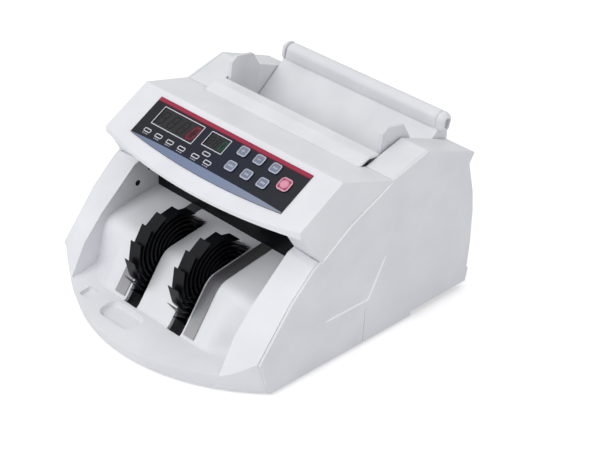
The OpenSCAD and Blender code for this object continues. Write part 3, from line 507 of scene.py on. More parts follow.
def coilPoints():
    # three lanes in, then three lanes out on the layer above, each change eased over part of a turn
    points = []
    steps = round(lead["stop"] / 360 * lead["perTurn"])
    low, high = lead["layers"]
    lanes = lead["lanes"]
    for i in range(1, steps):
        angle = lead["stop"] * i / steps
        radius = lanes[0]
        for end, a, b in zip(lead["laneEnds"], lanes, lanes[1:]):
            radius += (b - a) * easeStep(angle, end, end + lead["cross"])
        turn = math.radians(angle + lead["start"])
        climbed = easeStep(angle, lead["climb"], lead["climb"] + lead["cross"])
        points.append(Vector((lead["centre"][0] + radius * math.cos(turn),
                              lead["centre"][1] + radius * math.sin(turn), low + (high - low) * climbed)))
    return points


def makeLead():
    curve = bpy.data.curves.new("mainsCord", "CURVE")
    curve.dimensions = "3D"
    spline = curve.splines.new("NURBS")
    route = smoothCurve(leadRoute, 3) + coilPoints() + smoothCurve(leadTail, 3)
    spline.points.add(len(route) - 1)
    for slot, point in zip(spline.points, route):
        slot.co = (*(point * mm), 1)
    spline.use_endpoint_u = True
    spline.order_u = 4
    curve.bevel_depth = lead["bore"] / 2 * mm
    curve.bevel_resolution = 5
    curve.use_fill_caps = True
    cord = bpy.data.objects.new("mainsCord", curve)
    scene.collection.objects.link(cord)
    keepPiece(cord, "lead_plastic")
    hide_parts("mains_lead", "lead_coil")


makeLead()

# the band that ties the coil, and the ribs of the plug: reach and height are the band's ends in the section
coilTie = dict(turn=165, reach=(25.9, 47.9), height=(0.04, 14.8), corner=3.2, thick=0.72, wide=9, round=0.25)
plug = dict(at=(14, 159, 8), relief=((0, 4.5), (16, 6.0)), ribs=5, ribFrom=2, ribPitch=2.7, ribWide=1.1,
            ribOut=0.55, ribSink=0.9, ribEase=0.2, body=((14, 6.0), (39, 8.0)), grips=5, gripFrom=24.5,
            gripPitch=2.4, gripWide=1.0, gripHalf=6.5, gripTaper=0.25, gripSink=0.6, gripOut=0.35, round=0.2)


def makeTie():
    # a woven band drawn round all lanes of the coil, its lower run pressed into them
    turn = math.radians(coilTie["turn"])
    c, s = math.cos(turn), math.sin(turn)
    cx, cy = lead["centre"]
    (r0, r1), (z0, z1) = coilTie["reach"], coilTie["height"]
    rings = []
    for end, inset in ((-0.5, 0), (0.5, 0), (0.5, coilTie["thick"]), (-0.5, coilTie["thick"])):
        side = end * coilTie["wide"]
        band = roundedRect((r0 + r1) / 2, (z0 + z1) / 2, r1 - r0 - 2 * inset, z1 - z0 - 2 * inset,
                           coilTie["corner"] - inset)
        rings.append([(cx + c * r - s * side, cy + s * r + c * side, z) for r, z in band])
    tie = addPiece("coilTie", loftRings(rings, loop=True), "lead_plastic", wovenNylon)
    roundEdges(tie, coilTie["round"], 2)


def makePlugRibs():
    # rings round the strain relief, bars across the grip on both flats
    x0, y0, z0 = plug["at"]
    wide, ease, sink = plug["ribWide"], plug["ribEase"], plug["ribSink"]
    shapes = []
    for k in range(plug["ribs"]):
        along = plug["ribFrom"] + k * plug["ribPitch"]
        r = between(along, plug["relief"]) + plug["ribOut"]
        shapes.append(loftRings([[(x0 + along + dx, y0 + (r - drop) * c, z0 + (r - drop) * s)
                                  for c, s in circle(24)]
                                 for dx, drop in ((0, sink), (ease, 0), (wide - ease, 0), (wide, sink))]))
    for k in range(plug["grips"]):
        along = plug["gripFrom"] + k * plug["gripPitch"]
        half = plug["gripHalf"] - k * plug["gripTaper"]
        r = between(along, plug["body"])
        for side in (-1, 1):
            low, high = sorted((side * (r - plug["gripSink"]), side * (r + plug["gripOut"])))
            shapes.append(boxMesh((x0 + along, y0 - half, z0 + low),
                                  (x0 + along + plug["gripWide"], y0 + half, z0 + high)))
    roundEdges(addPiece("plugRibs", joinShapes(shapes), "lead_plastic"), plug["round"], 2)


makeTie()
makePlugRibs()
print("coil tie and plug ribs made")


# control panel: printed film, windows, digits and keys on the sloping face

face = dict(ridge=(-4.8, 156.6), down=(-0.8690, -0.4949), out=(-0.4949, 0.8690))
film = dict(half=92, top=6.1, side=46.2, bow=5.6, low=0.1, high=0.7, print=0.03, sink=0.02, margin=0.15,
            bowSteps=28, round=0.12, stripe=(6.3, 9.7, 10.7),
            crescentTop=((-92, 45.9), (-82, 45.3), (-68, 44.6), (-51, 44.0), (-22, 43.8), (8, 43.7),
                         (38, 43.8), (67, 44.1), (92, 45.0)))
windows = dict(
    count=dict(at=(-54.8, 21.8), size=(50.6, 18.6), frame=0.8, pitch=12.7, digits=4, digit=(7.6, 13.6),
               bar=1.5, lean=0.2, lit=litRed, haze=hazeRed, slot="digit_window"),
    batch=dict(at=(-8.6, 19.7), size=(23.6, 14.4), frame=0.75, pitch=7.3, digits=3, digit=(4.6, 9.2),
               bar=0.9, lean=0.18, lit=litGreen, haze=hazeGreen, slot="batch_window"))
windowEdge = dict(lap=1, cutCorner=0.4, corners=(0.7, 0.3))
digitLevels = dict(bars=(0.02, 0.1), haze=(0.005, 0.03), hazeWide=1.1, hazeHigh=0.8, gap=0.12)
keyPad = dict(places=[(20.5, 15.7), (39.4, 15.7), (58, 15.7), (20.5, 31.6), (39.4, 31.6), (58, 31.6)],
              size=(10.5, 9.5), corner=2.4, ring=2.5, rest=0.75, top=1.85, hole=0.3, well=0.25, stem=4,
              stemFoot=-7.9, markLevels=(-0.08, 0.03), shade=40)
startPad = dict(at=(76.3, 24.0), size=(12.8, 12.2), corner=3.8, disc=(7.6, 6.4), discLevels=(-0.06, 0.02),
                marks=(3.5, 3.3), markSize=(2.6, 2.5, 1.1), markLevels=(-0.14, -0.01))
lamps = dict(places=[(-77.4, 38.4), (-63.0, 38.4), (-48.5, 38.4), (-33.9, 38.4), (-16.6, 38.4),
                     (-8.9, 32.3), (-1.7, 38.4)], size=(8.3, 3.9), line=0.85, corners=(1.3, 0.5), plain=5,
             dashes=(1.6, 1.1, 1.9), dashPitch=2.3, dashFrom=-2.4, dashHigh=0.95, dashDrop=3.4)


def onFace(x, d, h=0.0):
    # x to the right, d down the slope from the ridge, h out of the face
    return (x, face["ridge"][0] + face["down"][0] * d + face["out"][0] * h,
            face["ridge"][1] + face["down"][1] * d + face["out"][1] * h)


def slabOnFace(outline, *levels):
    return loftRings([[onFace(x, d, h) for x, d in outline] for h in levels])


def frameOnFace(at, size, thinner, corners, low, high, steps=6):
    # a flat frame whose hole is thinner than its outside by so much
    outer, inner = (roundedRect(*at, size[0] - less, size[1] - less, corner, steps)
                    for less, corner in zip((0, thinner), corners))
    return loftRings([[onFace(x, d, h) for x, d in loop]
                      for loop, h in ((outer, low), (outer, high), (inner, high), (inner, low))], loop=True)


def filmBottom(x):
    return film["side"] + film["bow"] * (1 - (x / film["half"]) ** 2)


def makeFilm():
    n, half = film["bowSteps"], film["half"]
    xs = [half * (1 - 2 * i / n) for i in range(n + 1)]
    outline = [(-half, film["top"]), (half, film["top"])] + [(x, filmBottom(x)) for x in xs]
    sheet = tempSolid(*slabOnFace(outline, film["low"], film["high"]))
    through, gap = (-1, 2), 2 * keyPad["hole"]
    cuts = []
    for window in windows.values():
        w, h = window["size"]
        lap, corner = windowEdge["lap"], windowEdge["cutCorner"]
        cuts.append((roundedRect(*window["at"], w - lap, h - lap, corner, 2), through))
    for pad, places in ((keyPad, keyPad["places"]), (startPad, [startPad["at"]])):
        w, h = pad["size"]
        stem = keyPad["stem"] + gap
        for place in places:
            well = roundedRect(*place, w + gap, h + gap, pad["corner"])
            cuts.append((well, (keyPad["well"], through[1])))
            cuts.append((roundedRect(*place, stem, stem, stem / 2 - 0.01), through))
    combine(sheet, [tempSolid(*slabOnFace(loop, *levels)) for loop, levels in cuts], "DIFFERENCE")
    sheet.name = "overlayFilm"
    roundEdges(keepPiece(sheet, "overlay_film", inkNight, node="panel_overlay"), film["round"], 2)


def makePrint():
    low, high = film["high"] - film["sink"], film["high"] + film["print"]
    half = film["half"] - film["margin"]
    bandTop, bandFoot, lineFoot = film["stripe"]
    crescent = []
    for i in range(film["bowSteps"] + 1):
        x = half * (2 * i / film["bowSteps"] - 1)
        top = between(x, film["crescentTop"])
        foot = max(filmBottom(x) - film["margin"], top + 0.05)
        crescent.append([onFace(x, d, h) for d, h in ((top, high), (foot, high), (foot, low), (top, low))])
    points, faces = loftRings(crescent)
    crescent = points, faces[:-2]  # its ends taper to nothing and stay open
    frames, outlines, dashes = [], [], []
    for window in windows.values():
        (w, h), line = window["size"], window["frame"]
        frames.append(frameOnFace(window["at"], (w + line, h + line), 2 * line, windowEdge["corners"],
                                  low, high, steps=3))
    (w, h), line = lamps["size"], lamps["line"]
    for i, (x, d) in enumerate(lamps["places"]):
        outlines.append(frameOnFace((x, d), (w, h), 2 * line, lamps["corners"], low, high))
        for k in range(3) if i != lamps["plain"] else ():
            dash = roundedRect(x + lamps["dashFrom"] + lamps["dashPitch"] * k, d + lamps["dashDrop"],
                               lamps["dashes"][(i + k) % 3], lamps["dashHigh"], 0.2, 2)
            dashes.append(slabOnFace(dash, low, high))
    stripe = [(-half, bandTop), (half, bandTop), (half, bandFoot), (-half, bandFoot)]
    line = [(-half, bandFoot), (half, bandFoot), (half, lineFoot), (-half, lineFoot)]
    for name, shape, ink in (("crimsonStripe", slabOnFace(stripe, low, high), inkCrimson),
                             ("wineLine", slabOnFace(line, low, high - 0.01), inkWine),
                             ("steelBlueCrescent", crescent, inkSteelBlue),
                             ("windowFrames", joinShapes(frames), inkWhite),
                             ("indicatorOutlines", joinShapes(outlines), inkWhite),
                             ("indicatorDashes", joinShapes(dashes), inkGrey)):
        addPiece(name, shape, "overlay_film", ink)


def digitBars(window, index):
    # top, middle, foot, then left and right: each a hexagon that leans with the digit
    (w, h), t = window["digit"], window["bar"]
    middle = window["at"][0] + (index - (window["digits"] - 1) / 2) * window["pitch"]
    halfW, halfH, tip = (w - t) / 2, (h - t) / 2, t / 2
    spots = [(0, v, halfW) for v in (halfH, 0, -halfH)]
    spots += [(u, v, halfH / 2) for u in (-halfW, halfW) for v in (halfH / 2, -halfH / 2)]
    bars = []
    for u, v, half in spots:
        point, flat = half - digitLevels["gap"] * t, half - tip
        bar = [(-point, 0), (-flat, tip), (flat, tip), (point, 0), (flat, -tip), (-flat, -tip)]
        if u:
            bar = [(b, a) for a, b in bar]
        bars.append([(middle + u + a + window["lean"] * (v + b), window["at"][1] - v - b) for a, b in bar])
    return bars


def makeDigits():
    for name, window in windows.items():
        dark, bright = [], []
        last = window["digits"] - 1
        for i in range(window["digits"]):
            for k, bar in enumerate(digitBars(window, i)):
                lit = i == last and k != 1  # a nought in the last place
                (bright if lit else dark).append(slabOnFace(bar, *digitLevels["bars"]))
        w, h = (size / 2 + digitLevels[key] for size, key in zip(window["digit"], ("hazeWide", "hazeHigh")))
        middle = window["at"][0] + last / 2 * window["pitch"]
        haze = slabOnFace([(middle + u * w + window["lean"] * v * h, window["at"][1] - v * h)
                           for u, v in ((-1, -1), (1, -1), (1, 1), (-1, 1))], *digitLevels["haze"])
        for label, shape, ink in (("UnlitBars", joinShapes(dark), unlitSegment),
                                  ("LitBars", joinShapes(bright), window["lit"]),
                                  ("Haze", haze, window["haze"])):
            addPiece(name + label, shape, window["slot"], ink)


def markShapes(index, at):
    # plain marks: plus, minus, then rows of dashes; each bar is centre and size
    tall = 2.0
    rows = [[(0, 0, 3.4, 0.8), (0, -1.05, 0.8, 1.3), (0, 1.05, 0.8, 1.3)], [(0, 0, 3.4, 0.8)],
            [(-1.6, 0, 1.2, tall), (0.1, 0, 1.2, tall), (1.8, 0, 1.2, tall)],
            [(-2, 0, 1.1, tall), (-0.4, 0, 1.1, tall), (1.1, 0, 1.1, tall), (2.5, 0, 0.8, tall)],
            [(-1.1, 0, 1.6, tall), (1.2, 0, 1.6, tall)],
            [(-1.5, 0, 1.4, tall), (0.3, 0, 1.2, tall), (1.9, 0, 1.2, tall)]]
    low, high = (keyPad["top"] + level for level in keyPad["markLevels"])
    return [slabOnFace(roundedRect(at[0] + dx, at[1] + dd, w, h, min(w, h) / 3, 2), low, high)
            for dx, dd, w, h in rows[index]]


def makeKey(name, pad, at, marks, inks, body, node):
    # rings up the dome as inset and level; the last number says which finish the band below it takes:
    # the dome's own, then the inks of rim, marks and skirt
    (w, h), rest, top, ring = pad["size"], keyPad["rest"], keyPad["top"], keyPad["ring"]
    levels = [(0, rest, 3), (0, rest + 0.5, 3), (0.25, top - 0.3, 3), (0.7, top - 0.1, 1),
              (ring, top - 0.04, 1), (ring + 0.12, top - 0.12, 0), (ring + 1.2, top - 0.04, 0), (6.8, top, 0)]
    rings = []
    for inset, level, kind in levels:
        r = min(max(pad["corner"] - inset * 0.45, 0.3), (min(w, h) - inset) / 2 - 0.01)
        rings.append([onFace(x, d, level)
                      for x, d in roundedRect(*at, max(w - inset, 0.8), max(h - inset, 0.8), r)])
    dome = loftRings(rings)
    stem = loftRings([[onFace(at[0] + keyPad["stem"] / 2 * c, at[1] + keyPad["stem"] / 2 * s, level)
                       for c, s in circle(20)] for level in (keyPad["stemFoot"], rest + 0.05)])
    kinds = [kind for inset, level, kind in levels[1:] for point in rings[0]]
    kinds += [0] * (2 + len(stem[1])) + [2] * sum(len(quads) for points, quads in marks)
    key = addPiece(name, joinShapes([dome, stem] + marks), nodeSlots[node], None, body, node)
    for ink in inks:
        key.data.materials.append(ink)
    for polygon, kind in zip(key.data.polygons, kinds):
        polygon.material_index = kind
    shadeByAngle(key.data, keyPad["shade"])


def makeKeys():
    for i, place in enumerate(keyPad["places"], 1):
        makeKey(f"keyCap{i}", keyPad, place, markShapes(i - 1, place), [keyRim, keyMark, inkNight],
                f"key_{i}_body", f"key_{i}")
    (x, d), top = startPad["at"], keyPad["top"]
    (dx, dd), (w, h, r) = startPad["marks"], startPad["markSize"]
    low, high = (top + level for level in startPad["markLevels"])
    corners = [slabOnFace(roundedRect(x + sx * dx, d + sd * dd, w, h, r, 3), low, high)
               for sx in (-1, 1) for sd in (-1, 1)]
    makeKey("startCap", startPad, (x, d), corners, [startRim, startCorner, inkNight],
            "start_key_body", "start_key")
    disc = roundedRect(x, d, *startPad["disc"], startPad["disc"][1] / 2 - 0.01, 8)
    addPiece("startDisc", slabOnFace(disc, *(top + level for level in startPad["discLevels"])),
             nodeSlots["start_key"], startMark, "start_key_body")


makeFilm()
makePrint()
makeDigits()
makeKeys()
print("control panel made")


# stacker wheels: sixteen spiral vanes on a hub

wheel = dict(centre=(-62.5, 49), radius=41.4, halfTrack=27.5, width=13, hub=13, sink=1.2, vanes=16,
             sweep=140, tip=0.45, root=2.0, steps=48, bore=5.1, straight=25, straightR=36.4,
             round=0.16, sharp=50, shade=40)


def vaneFaces():
    # the vane's two faces, hub to tip: a spiral whose last part runs straight, off the next vane
    def polar(r, degrees):
        return Vector((r * math.cos(math.radians(degrees)), -r * math.sin(math.radians(degrees))))
    rootR, sweep = wheel["hub"] - wheel["sink"], wheel["sweep"]
    bend = 1 - wheel["straight"] / sweep
    start, tip = polar(wheel["straightR"], sweep * bend), polar(wheel["radius"], sweep)
    parts = [i / wheel["steps"] for i in range(wheel["steps"] + 1)]
    middle = [polar(rootR + (wheel["straightR"] - rootR) * t / bend, sweep * t) if t < bend
              else start.lerp(tip, (t - bend) / (1 - bend)) for t in parts]
    inner, outer = [], []
    for t, point, along in zip(parts, middle, headings(middle)):
        half = 0.5 * (wheel["root"] + (wheel["tip"] - wheel["root"]) * t ** 1.5)
        side = Vector((-along.y, along.x))
        side = side if side.dot(point) > 0 else -side
        outer.append(point + side * half)
        inner.append(point - side * half)
    return inner, outer


def makeWheel(name, x):
    low, high = x - wheel["width"] / 2, x + wheel["width"] / 2
    cy, cz = wheel["centre"]
    faces = vaneFaces()
    shapes = []
    for k in range(wheel["vanes"]):
        turn = math.tau * (k + 0.5) / wheel["vanes"]
        c, s = math.cos(turn), math.sin(turn)
        rings = []
        for pair in zip(*faces):
            a, b = ((cy + p.x * c - p.y * s, cz + p.x * s + p.y * c) for p in pair)
            rings.append([(low, *a), (high, *a), (high, *b), (low, *b)])
        shapes.append(loftRings(rings))
    bore, rim = wheel["bore"], wheel["hub"]
    section = ((low, bore), (low, rim), (high, rim), (high, bore))
    shapes.append(loftRings([[(x, cy + r * c, cz + r * s) for c, s in circle(64)] for x, r in section],
                            loop=True))
    piece = addPiece(name, joinShapes(shapes), "vane_plastic", body="stacker", node="stacker_wheels")
    addBevel(piece, wheel["round"], 2, wheel["sharp"])
    shadeByAngle(piece.data, wheel["shade"])


makeWheel("leftStackerWheel", -wheel["halfTrack"])
makeWheel("rightStackerWheel", wheel["halfTrack"])
print("stacker wheels made")


# housing: front cover with the stacker tray, tray rails, side panels, hood, hopper and lid

def roundMarked(piece, angle, keep, width, segments=4, shade=30):
    # rounds each edge sharper than angle by width times what keep says of its middle, in millimetres
    with editing(piece) as work:
        layers = work.edges.layers.float
        layer = layers.get("bevel_weight_edge") or layers.new("bevel_weight_edge")
        for edge in work.edges:
            if len(edge.link_faces) == 2 and edge.calc_face_angle(0) > math.radians(angle):
                edge[layer] = keep((edge.verts[0].co + edge.verts[1].co) / 2 / mm)
    roundEdges(piece, width, segments, angle=0, weld=False)
    shadeByAngle(piece.data, shade)


def tidyMesh(piece, flatten=0.4):
    # joins points that all but touch, and faces within flatten degrees of each other
    with editing(piece) as work:
        bmesh.ops.remove_doubles(work, verts=work.verts, dist=0.02 * mm)
        bmesh.ops.dissolve_limit(work, angle_limit=math.radians(flatten), verts=work.verts,
                                 edges=work.edges)
        bmesh.ops.recalc_face_normals(work, faces=work.faces)
    return piece


def copyNode(nodeName, name, body="machine", material=None):
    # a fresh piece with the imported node's own shape, to be worked on
    piece = bpy.data.objects.new(name, nodes[nodeName].data.copy())
    scene.collection.objects.link(piece)
    piece.data.transform(nodes[nodeName].matrix_world)
    return tidyMesh(keepPiece(piece, nodeSlots[nodeName], material, body, nodeName))


# tray rows are (y, z), front to rear; wing stations are y with the height at its inner and outer edge
cover = dict(half=122.3, trayHalf=95, sideHalf=125, wall=2.5, base=2.5, rear=-16, blend=(60, 88), bevel=1.1,
             drum=180, drumLean=16.2, drumFront=-139, drumReach=(-120, 220), floors=(-20, -30),
             slot=(19.5, 35.5, -104.7, -25), slotReach=(12, 100), sensorReach=(90, 100),
             sensors=[(-38.3, 80.3, 5.5), (-25.1, 89.4, 3.0)], around=(130, 200, 130), xStep=2.5)
trayMiddle = [(-150, 13.8), (-126, 16.8), (-107.5, 19.1), (-103.2, 20.3), (-99.6, 24.2), (-88, 39.9),
              (-78.2, 53.4), (-74, 58.4), (-68.5, 61.9), (-58, 63.9), (-34, 67.7), (-16, 70.5)]
traySide = [(-150, 13.8), (-126, 16.4), (-105, 18.8), (-95, 20.4), (-87.2, 23.7), (-83, 34),
            (-78.8, 48.5), (-75.6, 56), (-69.5, 61.2), (-58, 64.2), (-34, 68.6), (-16, 70.5)]
wingStations = [(-115, 16, 3.7), (-98, 45.9, 33.5), (-78, 67.2, 57.3), (-63, 80, 75.1), (-41, 99, 94.8),
                (-34.2, 101.3, 99.0), (-34.1, 99.0, 99.0), (-16, 99.0, 99.0)]
# pockets in the apron: centre, half sizes, corner, depth and draft of the walls
apronPockets = [dict(at=(-67, -116.5), half=(6.5, 6.5), corner=2.5, depth=3.2, draft=0.8),
                dict(at=(-22, -118), half=(21, 10.5), corner=8, depth=4.2, draft=1.8)]
apron = dict(y=-115, z=17.95, rise=0.135, margin=3.2)


def trayRow(x, shift=0.0):
    # the tray's line of (y, z) at x; shift lowers and sets back the underside, which also clears pockets
    weight = easeStep(abs(x), *cover["blend"])
    rows = [(0, my + (sy - my) * weight, mz + (sz - mz) * weight)
            for (my, mz), (sy, sz) in zip(trayMiddle, traySide)]
    out = []
    for _, y, z in smoothCurve(rows, 4):
        for pocket in apronPockets if shift else ():
            (cx, cy), (hx, hy) = pocket["at"], pocket["half"]
            near = max(abs(x - cx) - hx, abs(y - cy) - hy)
            z -= pocket["depth"] * (1 - easeStep(near, 0.5, apron["margin"]))
        out.append((y + shift, z - shift))
    return out


def traySolid(half, shift, floor):
    count = round(2 * half / cover["xStep"])
    rings = []
    for i in range(count + 1):
        x = -half + 2 * half * i / count
        row = trayRow(x, shift)
        rings.append([(x, y, z) for y, z in row + [(row[-1][0], floor), (row[0][0], floor)]])
    return tempSolid(*loftRings(rings))


def wingSolid(side, x0, x1, drop, floor):
    rings = []
    for y, inner, outer in wingStations:
        slope = (outer - inner) / (cover["sideHalf"] - cover["trayHalf"])
        z0, z1 = (inner + slope * (x - cover["trayHalf"]) - drop for x in (x0, x1))
        rings.append([(side * x, y + drop, z) for x, z in ((x0, floor), (x1, floor), (x1, z1), (x0, z0))])
    return tempSolid(*loftRings(rings))


def drumSolid(inset):
    # the leaning cylinder that gives the apron its bowed front
    lean, radius = math.radians(cover["drumLean"]), cover["drum"]
    axis = Vector((0, -math.sin(lean), math.cos(lean)))
    centre = Vector((0, cover["drumFront"] + radius / math.cos(lean), cover["base"]))
    right, out = Vector((1, 0, 0)), Vector((0, math.cos(lean), math.sin(lean)))
    return tempSolid(*loftRings([[centre + axis * height + (radius - inset) * (right * c + out * s)
                                  for c, s in circle(360)] for height in cover["drumReach"]]))


def coverShape(inset, floor):
    shape = traySolid(cover["half"] - inset, inset, floor)
    wings = [wingSolid(side, cover["trayHalf"] + inset, cover["half"] - inset, inset, floor)
             for side in (-1, 1)]
    combine(shape, wings, "UNION")
    return combine(shape, [drumSolid(inset)], "INTERSECT")


def pocketTool(pocket):
    # a drafted plug that follows the apron's slope
    (cx, cy), (hx, hy) = pocket["at"], pocket["half"]
    depth, draft = pocket["depth"], pocket["draft"]
    rings = []
    for drop, inset in ((-3, 0), (0.1, 0), (depth * 0.7, draft * 0.6), (depth, draft * 1.3)):
        r = max(pocket["corner"] - inset * 0.5, 0.8)
        loop = roundedRect(cx, cy, 2 * (hx - inset), 2 * (hy - inset), r, 5)
        rings.append([(x, y, apron["z"] + apron["rise"] * (y - apron["y"]) - drop) for x, y in loop])
    return tempSolid(*loftRings(rings))


def coverEdge(p):
    # hardly rounded under the hood, a little at the sides and foot, half at the wheel slots
    if p.y > -38 and p.z > 94:
        return 0.05
    if abs(p.x) > 121.6 or p.z < 4:
        return 0.25
    return 0.5 if abs(abs(p.x) - wheel["halfTrack"]) < 9 else 1.0


def makeFrontCover():
    shell = coverShape(0, cover["floors"][0])
    combine(shell, [coverShape(cover["wall"], cover["floors"][1])], "DIFFERENCE")
    wide, front, tall = cover["around"]
    block = boxMesh((-wide, -front, cover["base"]), (wide, cover["rear"], tall))
    combine(shell, [tempSolid(*block)], "INTERSECT")
    (x0, x1, y0, y1), (z0, z1) = cover["slot"], cover["slotReach"]
    tools = [tempSolid(*boxMesh((low, y0, z0), (high, y1, z1))) for low, high in ((-x1, -x0), (x0, x1))]
    near, far = cover["sensorReach"]
    for sensor in cover["sensors"]:
        tools += [discTool(*sensor, near, far), discTool(*sensor, -far, -near)]
    combine(shell, tools + [pocketTool(pocket) for pocket in apronPockets], "DIFFERENCE")
    shell.name = "frontCover"
    keepPiece(shell, "cover_plastic", node="front_cover")
    roundMarked(tidyMesh(shell, 0.6), 24, coverEdge, cover["bevel"])


rail = dict(x=(37.8, 50.0), reach=(-102.4, -15.9), thick=0.6, lift=0.35, round=0.15)


def makeRails():
    # spring-steel strips that follow the tray's middle line
    front, rear = rail["reach"]
    for side, name in ((-1, "leftTrayRail"), (1, "rightTrayRail")):
        rings = []
        for x in rail["x"]:
            row = [Vector(p) for p in trayRow(side * x) if front <= p[0] <= rear]
            square = [Vector((-along.y, along.x)) for along in headings(row)]
            low = [p + out * rail["lift"] for p, out in zip(row, square)]
            top = [p + out * (rail["lift"] + rail["thick"]) for p, out in zip(row, square)]
            rings.append([(side * x, *p) for p in top + low[::-1]])
        piece = addPiece(name, loftRings(rings), "brushed_strip", springStrip, node="tray_rails")
        roundEdges(piece, rail["round"], 2)


# lines on the side panels are (y, z)
hood = dict(bevel=2.4, seamLine=[(-33.5, 99.6), (-0.2, 121), (44.8, 141.6)])
sidePanel = dict(inner=122.5, outer=125, grid=4, margin=3, bevel=1.7, rimDrop=0.9, beadSteps=10, beadSink=0.6,
                 vee=((-31.1, 42.1), (18.8, 41.8), (39, 75.6)), veeBead=(2.0, 1.1, (0.4, 0.3)),
                 rimBead=(1.6, 0.9, (0.02, 0.02)), rearTilt=0.016, rearMost=0.75,
                 rearLine=[(71.6, 4.1), (70.4, 27.9), (77.9, 50.8), (97.7, 76.9), (118, 96)],
                 seam=((16, 32), (13.7, 2.3)), seamHalf=0.3, seamDepth=0.45, seamDot=(16.2, 33.4, 1.7))


def sidePress(y, z):
    # how far the panel's outer face lies inside its flat: it slopes in behind the rear line
    behind = y - between(z, [(pz, py) for py, pz in sidePanel["rearLine"]])
    return max(0.0, min(sidePanel["rearMost"], behind * sidePanel["rearTilt"]))


def bead(side, corners, width, rise, fade):
    # a low bead on the panel's outer face along the corners, fading in and out over parts of its length
    path, steps = [], sidePanel["beadSteps"]
    for a, b in zip(corners, corners[1:]):
        path += [Vector(a).lerp(Vector(b), i / steps) for i in range(steps)]
    path.append(Vector(corners[-1]))
    outer = sidePanel["outer"]
    face, foot = outer - 0.02, outer - sidePanel["beadSink"]
    rings = []
    for i, (point, along) in enumerate(zip(path, headings(path))):
        across = Vector((-along.y, along.x)) * width / 2
        t = i / (len(path) - 1)
        crest = outer + (rise * easeStep(t, 0, fade[0]) * (1 - easeStep(t, 1 - fade[1], 1)) - 0.02)
        low, high = point - across, point + across
        rings.append([(side * x, *p) for x, p in ((foot, low), (face, low), (crest, point), (face, high),
                                                  (foot, high))])
    return loftRings(rings)


def panelBlock(side, nodeName):
    # a block over the whole panel whose outer face is a grid pressed in where sidePress says
    ys, zs = [], []
    for axis, places in ((1, ys), (2, zs)):
        low, high = (corner[axis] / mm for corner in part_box(nodeName))
        low, high = low - sidePanel["margin"], high + sidePanel["margin"]
        count = round((high - low) / sidePanel["grid"])
        places += [low + (high - low) * i / count for i in range(count + 1)]
    points = [(side * (sidePanel["outer"] - sidePress(y, z)), y, z) for y in ys for z in zs]
    row, ny, nz = len(zs), len(ys) - 1, len(zs) - 1
    faces = [(k, k + row, k + row + 1, k + 1) for i in range(ny) for k in range(i * row, i * row + nz)]
    rim = [(i, 0) for i in range(ny + 1)] + [(ny, j) for j in range(1, nz + 1)]
    rim += [(i, nz) for i in range(ny - 1, -1, -1)] + [(0, j) for j in range(nz - 1, 0, -1)]
    base = len(points)
    points += [(side * (sidePanel["inner"] - 1), ys[i], zs[j]) for i, j in rim]
    for k, ((i, j), (p, q)) in enumerate(zip(rim, rim[1:] + rim[:1])):
        faces.append((i * row + j, p * row + q, base + (k + 1) % len(rim), base + k))
    return tempSolid(points, faces + [tuple(range(base, len(points)))])


def panelEdge(p):
    # hardly rounded under the hood, full round the outer rim and the rear top, a little elsewhere
    if -33.5 < p.y < 44.8 and p.z > between(p.y, hood["seamLine"]) - 3:
        return 0.05
    return 1.0 if (abs(p.x) > 124 and p.z > 3) or (p.y > 110 and p.z > 100) else 0.2


def makeSidePanel(side, nodeName, name):
    outline = copyNode(nodeName, name)
    combine(outline, [panelBlock(side, nodeName)], "INTERSECT")
    (sy, sz), (ey, ez) = sidePanel["seam"]
    w = sidePanel["seamHalf"]
    seam = [(sy - w, sz), (sy + w, sz), (ey + w, ez), (ey - w, ez)]
    cut = sorted((side * (sidePanel["outer"] - sidePanel["seamDepth"]), side * (sidePanel["outer"] + 1)))
    combine(outline, [tempSolid(*extrudeX(seam, *cut)), discTool(*sidePanel["seamDot"], *cut)], "DIFFERENCE")
    # the beads take a paler second finish: a painted highlight along them
    outline.data.materials.append(paintedHighlightAbs)
    rim = [(y, z - sidePanel["rimDrop"]) for y, z in hood["seamLine"]]
    for corners, shape in ((sidePanel["vee"], sidePanel["veeBead"]), (rim, sidePanel["rimBead"])):
        tool = tempSolid(*bead(side, corners, *shape))
        for polygon in tool.data.polygons:
            polygon.material_index = 1
        combine(outline, [tool], "UNION")
    roundMarked(tidyMesh(outline, 0.15), 40, panelEdge, sidePanel["bevel"], shade=12)


def hoodEdge(p):
    # hardly rounded where it meets the hopper and the side panels, full along its front
    if p.y > 36 or (abs(p.x) > 100 and p.z < between(p.y, hood["seamLine"]) + 1.5):
        return 0.04
    return 1.0 if p.y < -38 else 0.65


def deckEdge(p):
    # a little rounded where it meets the hood, the side panels and the body below
    return 0.25 if p.y < 47 or abs(p.x) > 121 or p.z < 125 else 1.0


hopper = dict(deckBevel=0.8, plateBevel=1.0, guideBevel=1.0, plateEnd=89, plateWide=93.6)


def makeHopper():
    deck = copyNode("hopper_deck", "hopperDeck", material=slotMaterials["hopper_plastic"])
    roundMarked(deck, 24, deckEdge, hopper["deckBevel"])
    plate = copyNode("hopper_front_plate", "hopperFrontPlate")
    for vertex in plate.data.vertices:
        # both ends reach out to the side moulding
        if abs(vertex.co.x) > hopper["plateEnd"] * mm:
            vertex.co.x = math.copysign(hopper["plateWide"] * mm, vertex.co.x)
    roundMarked(plate, 24, lambda p: 0.9 if p.z > 140 else 0.3, hopper["plateBevel"])
    for side in ("left", "right"):
        guide = copyNode(side + "_note_guide", side + "NoteGuide", side + "_guide")
        roundMarked(guide, 20, lambda p: 1.0, hopper["guideBevel"])


lid = dict(bevel=0.6, rearPanelBevel=0.5)
gripBar = dict(half=97.5, low=(135.6, 145.5, 7.0), high=(136.7, 149.7, 7.4), round=6, squash=0.75, steps=6,
               around=14)


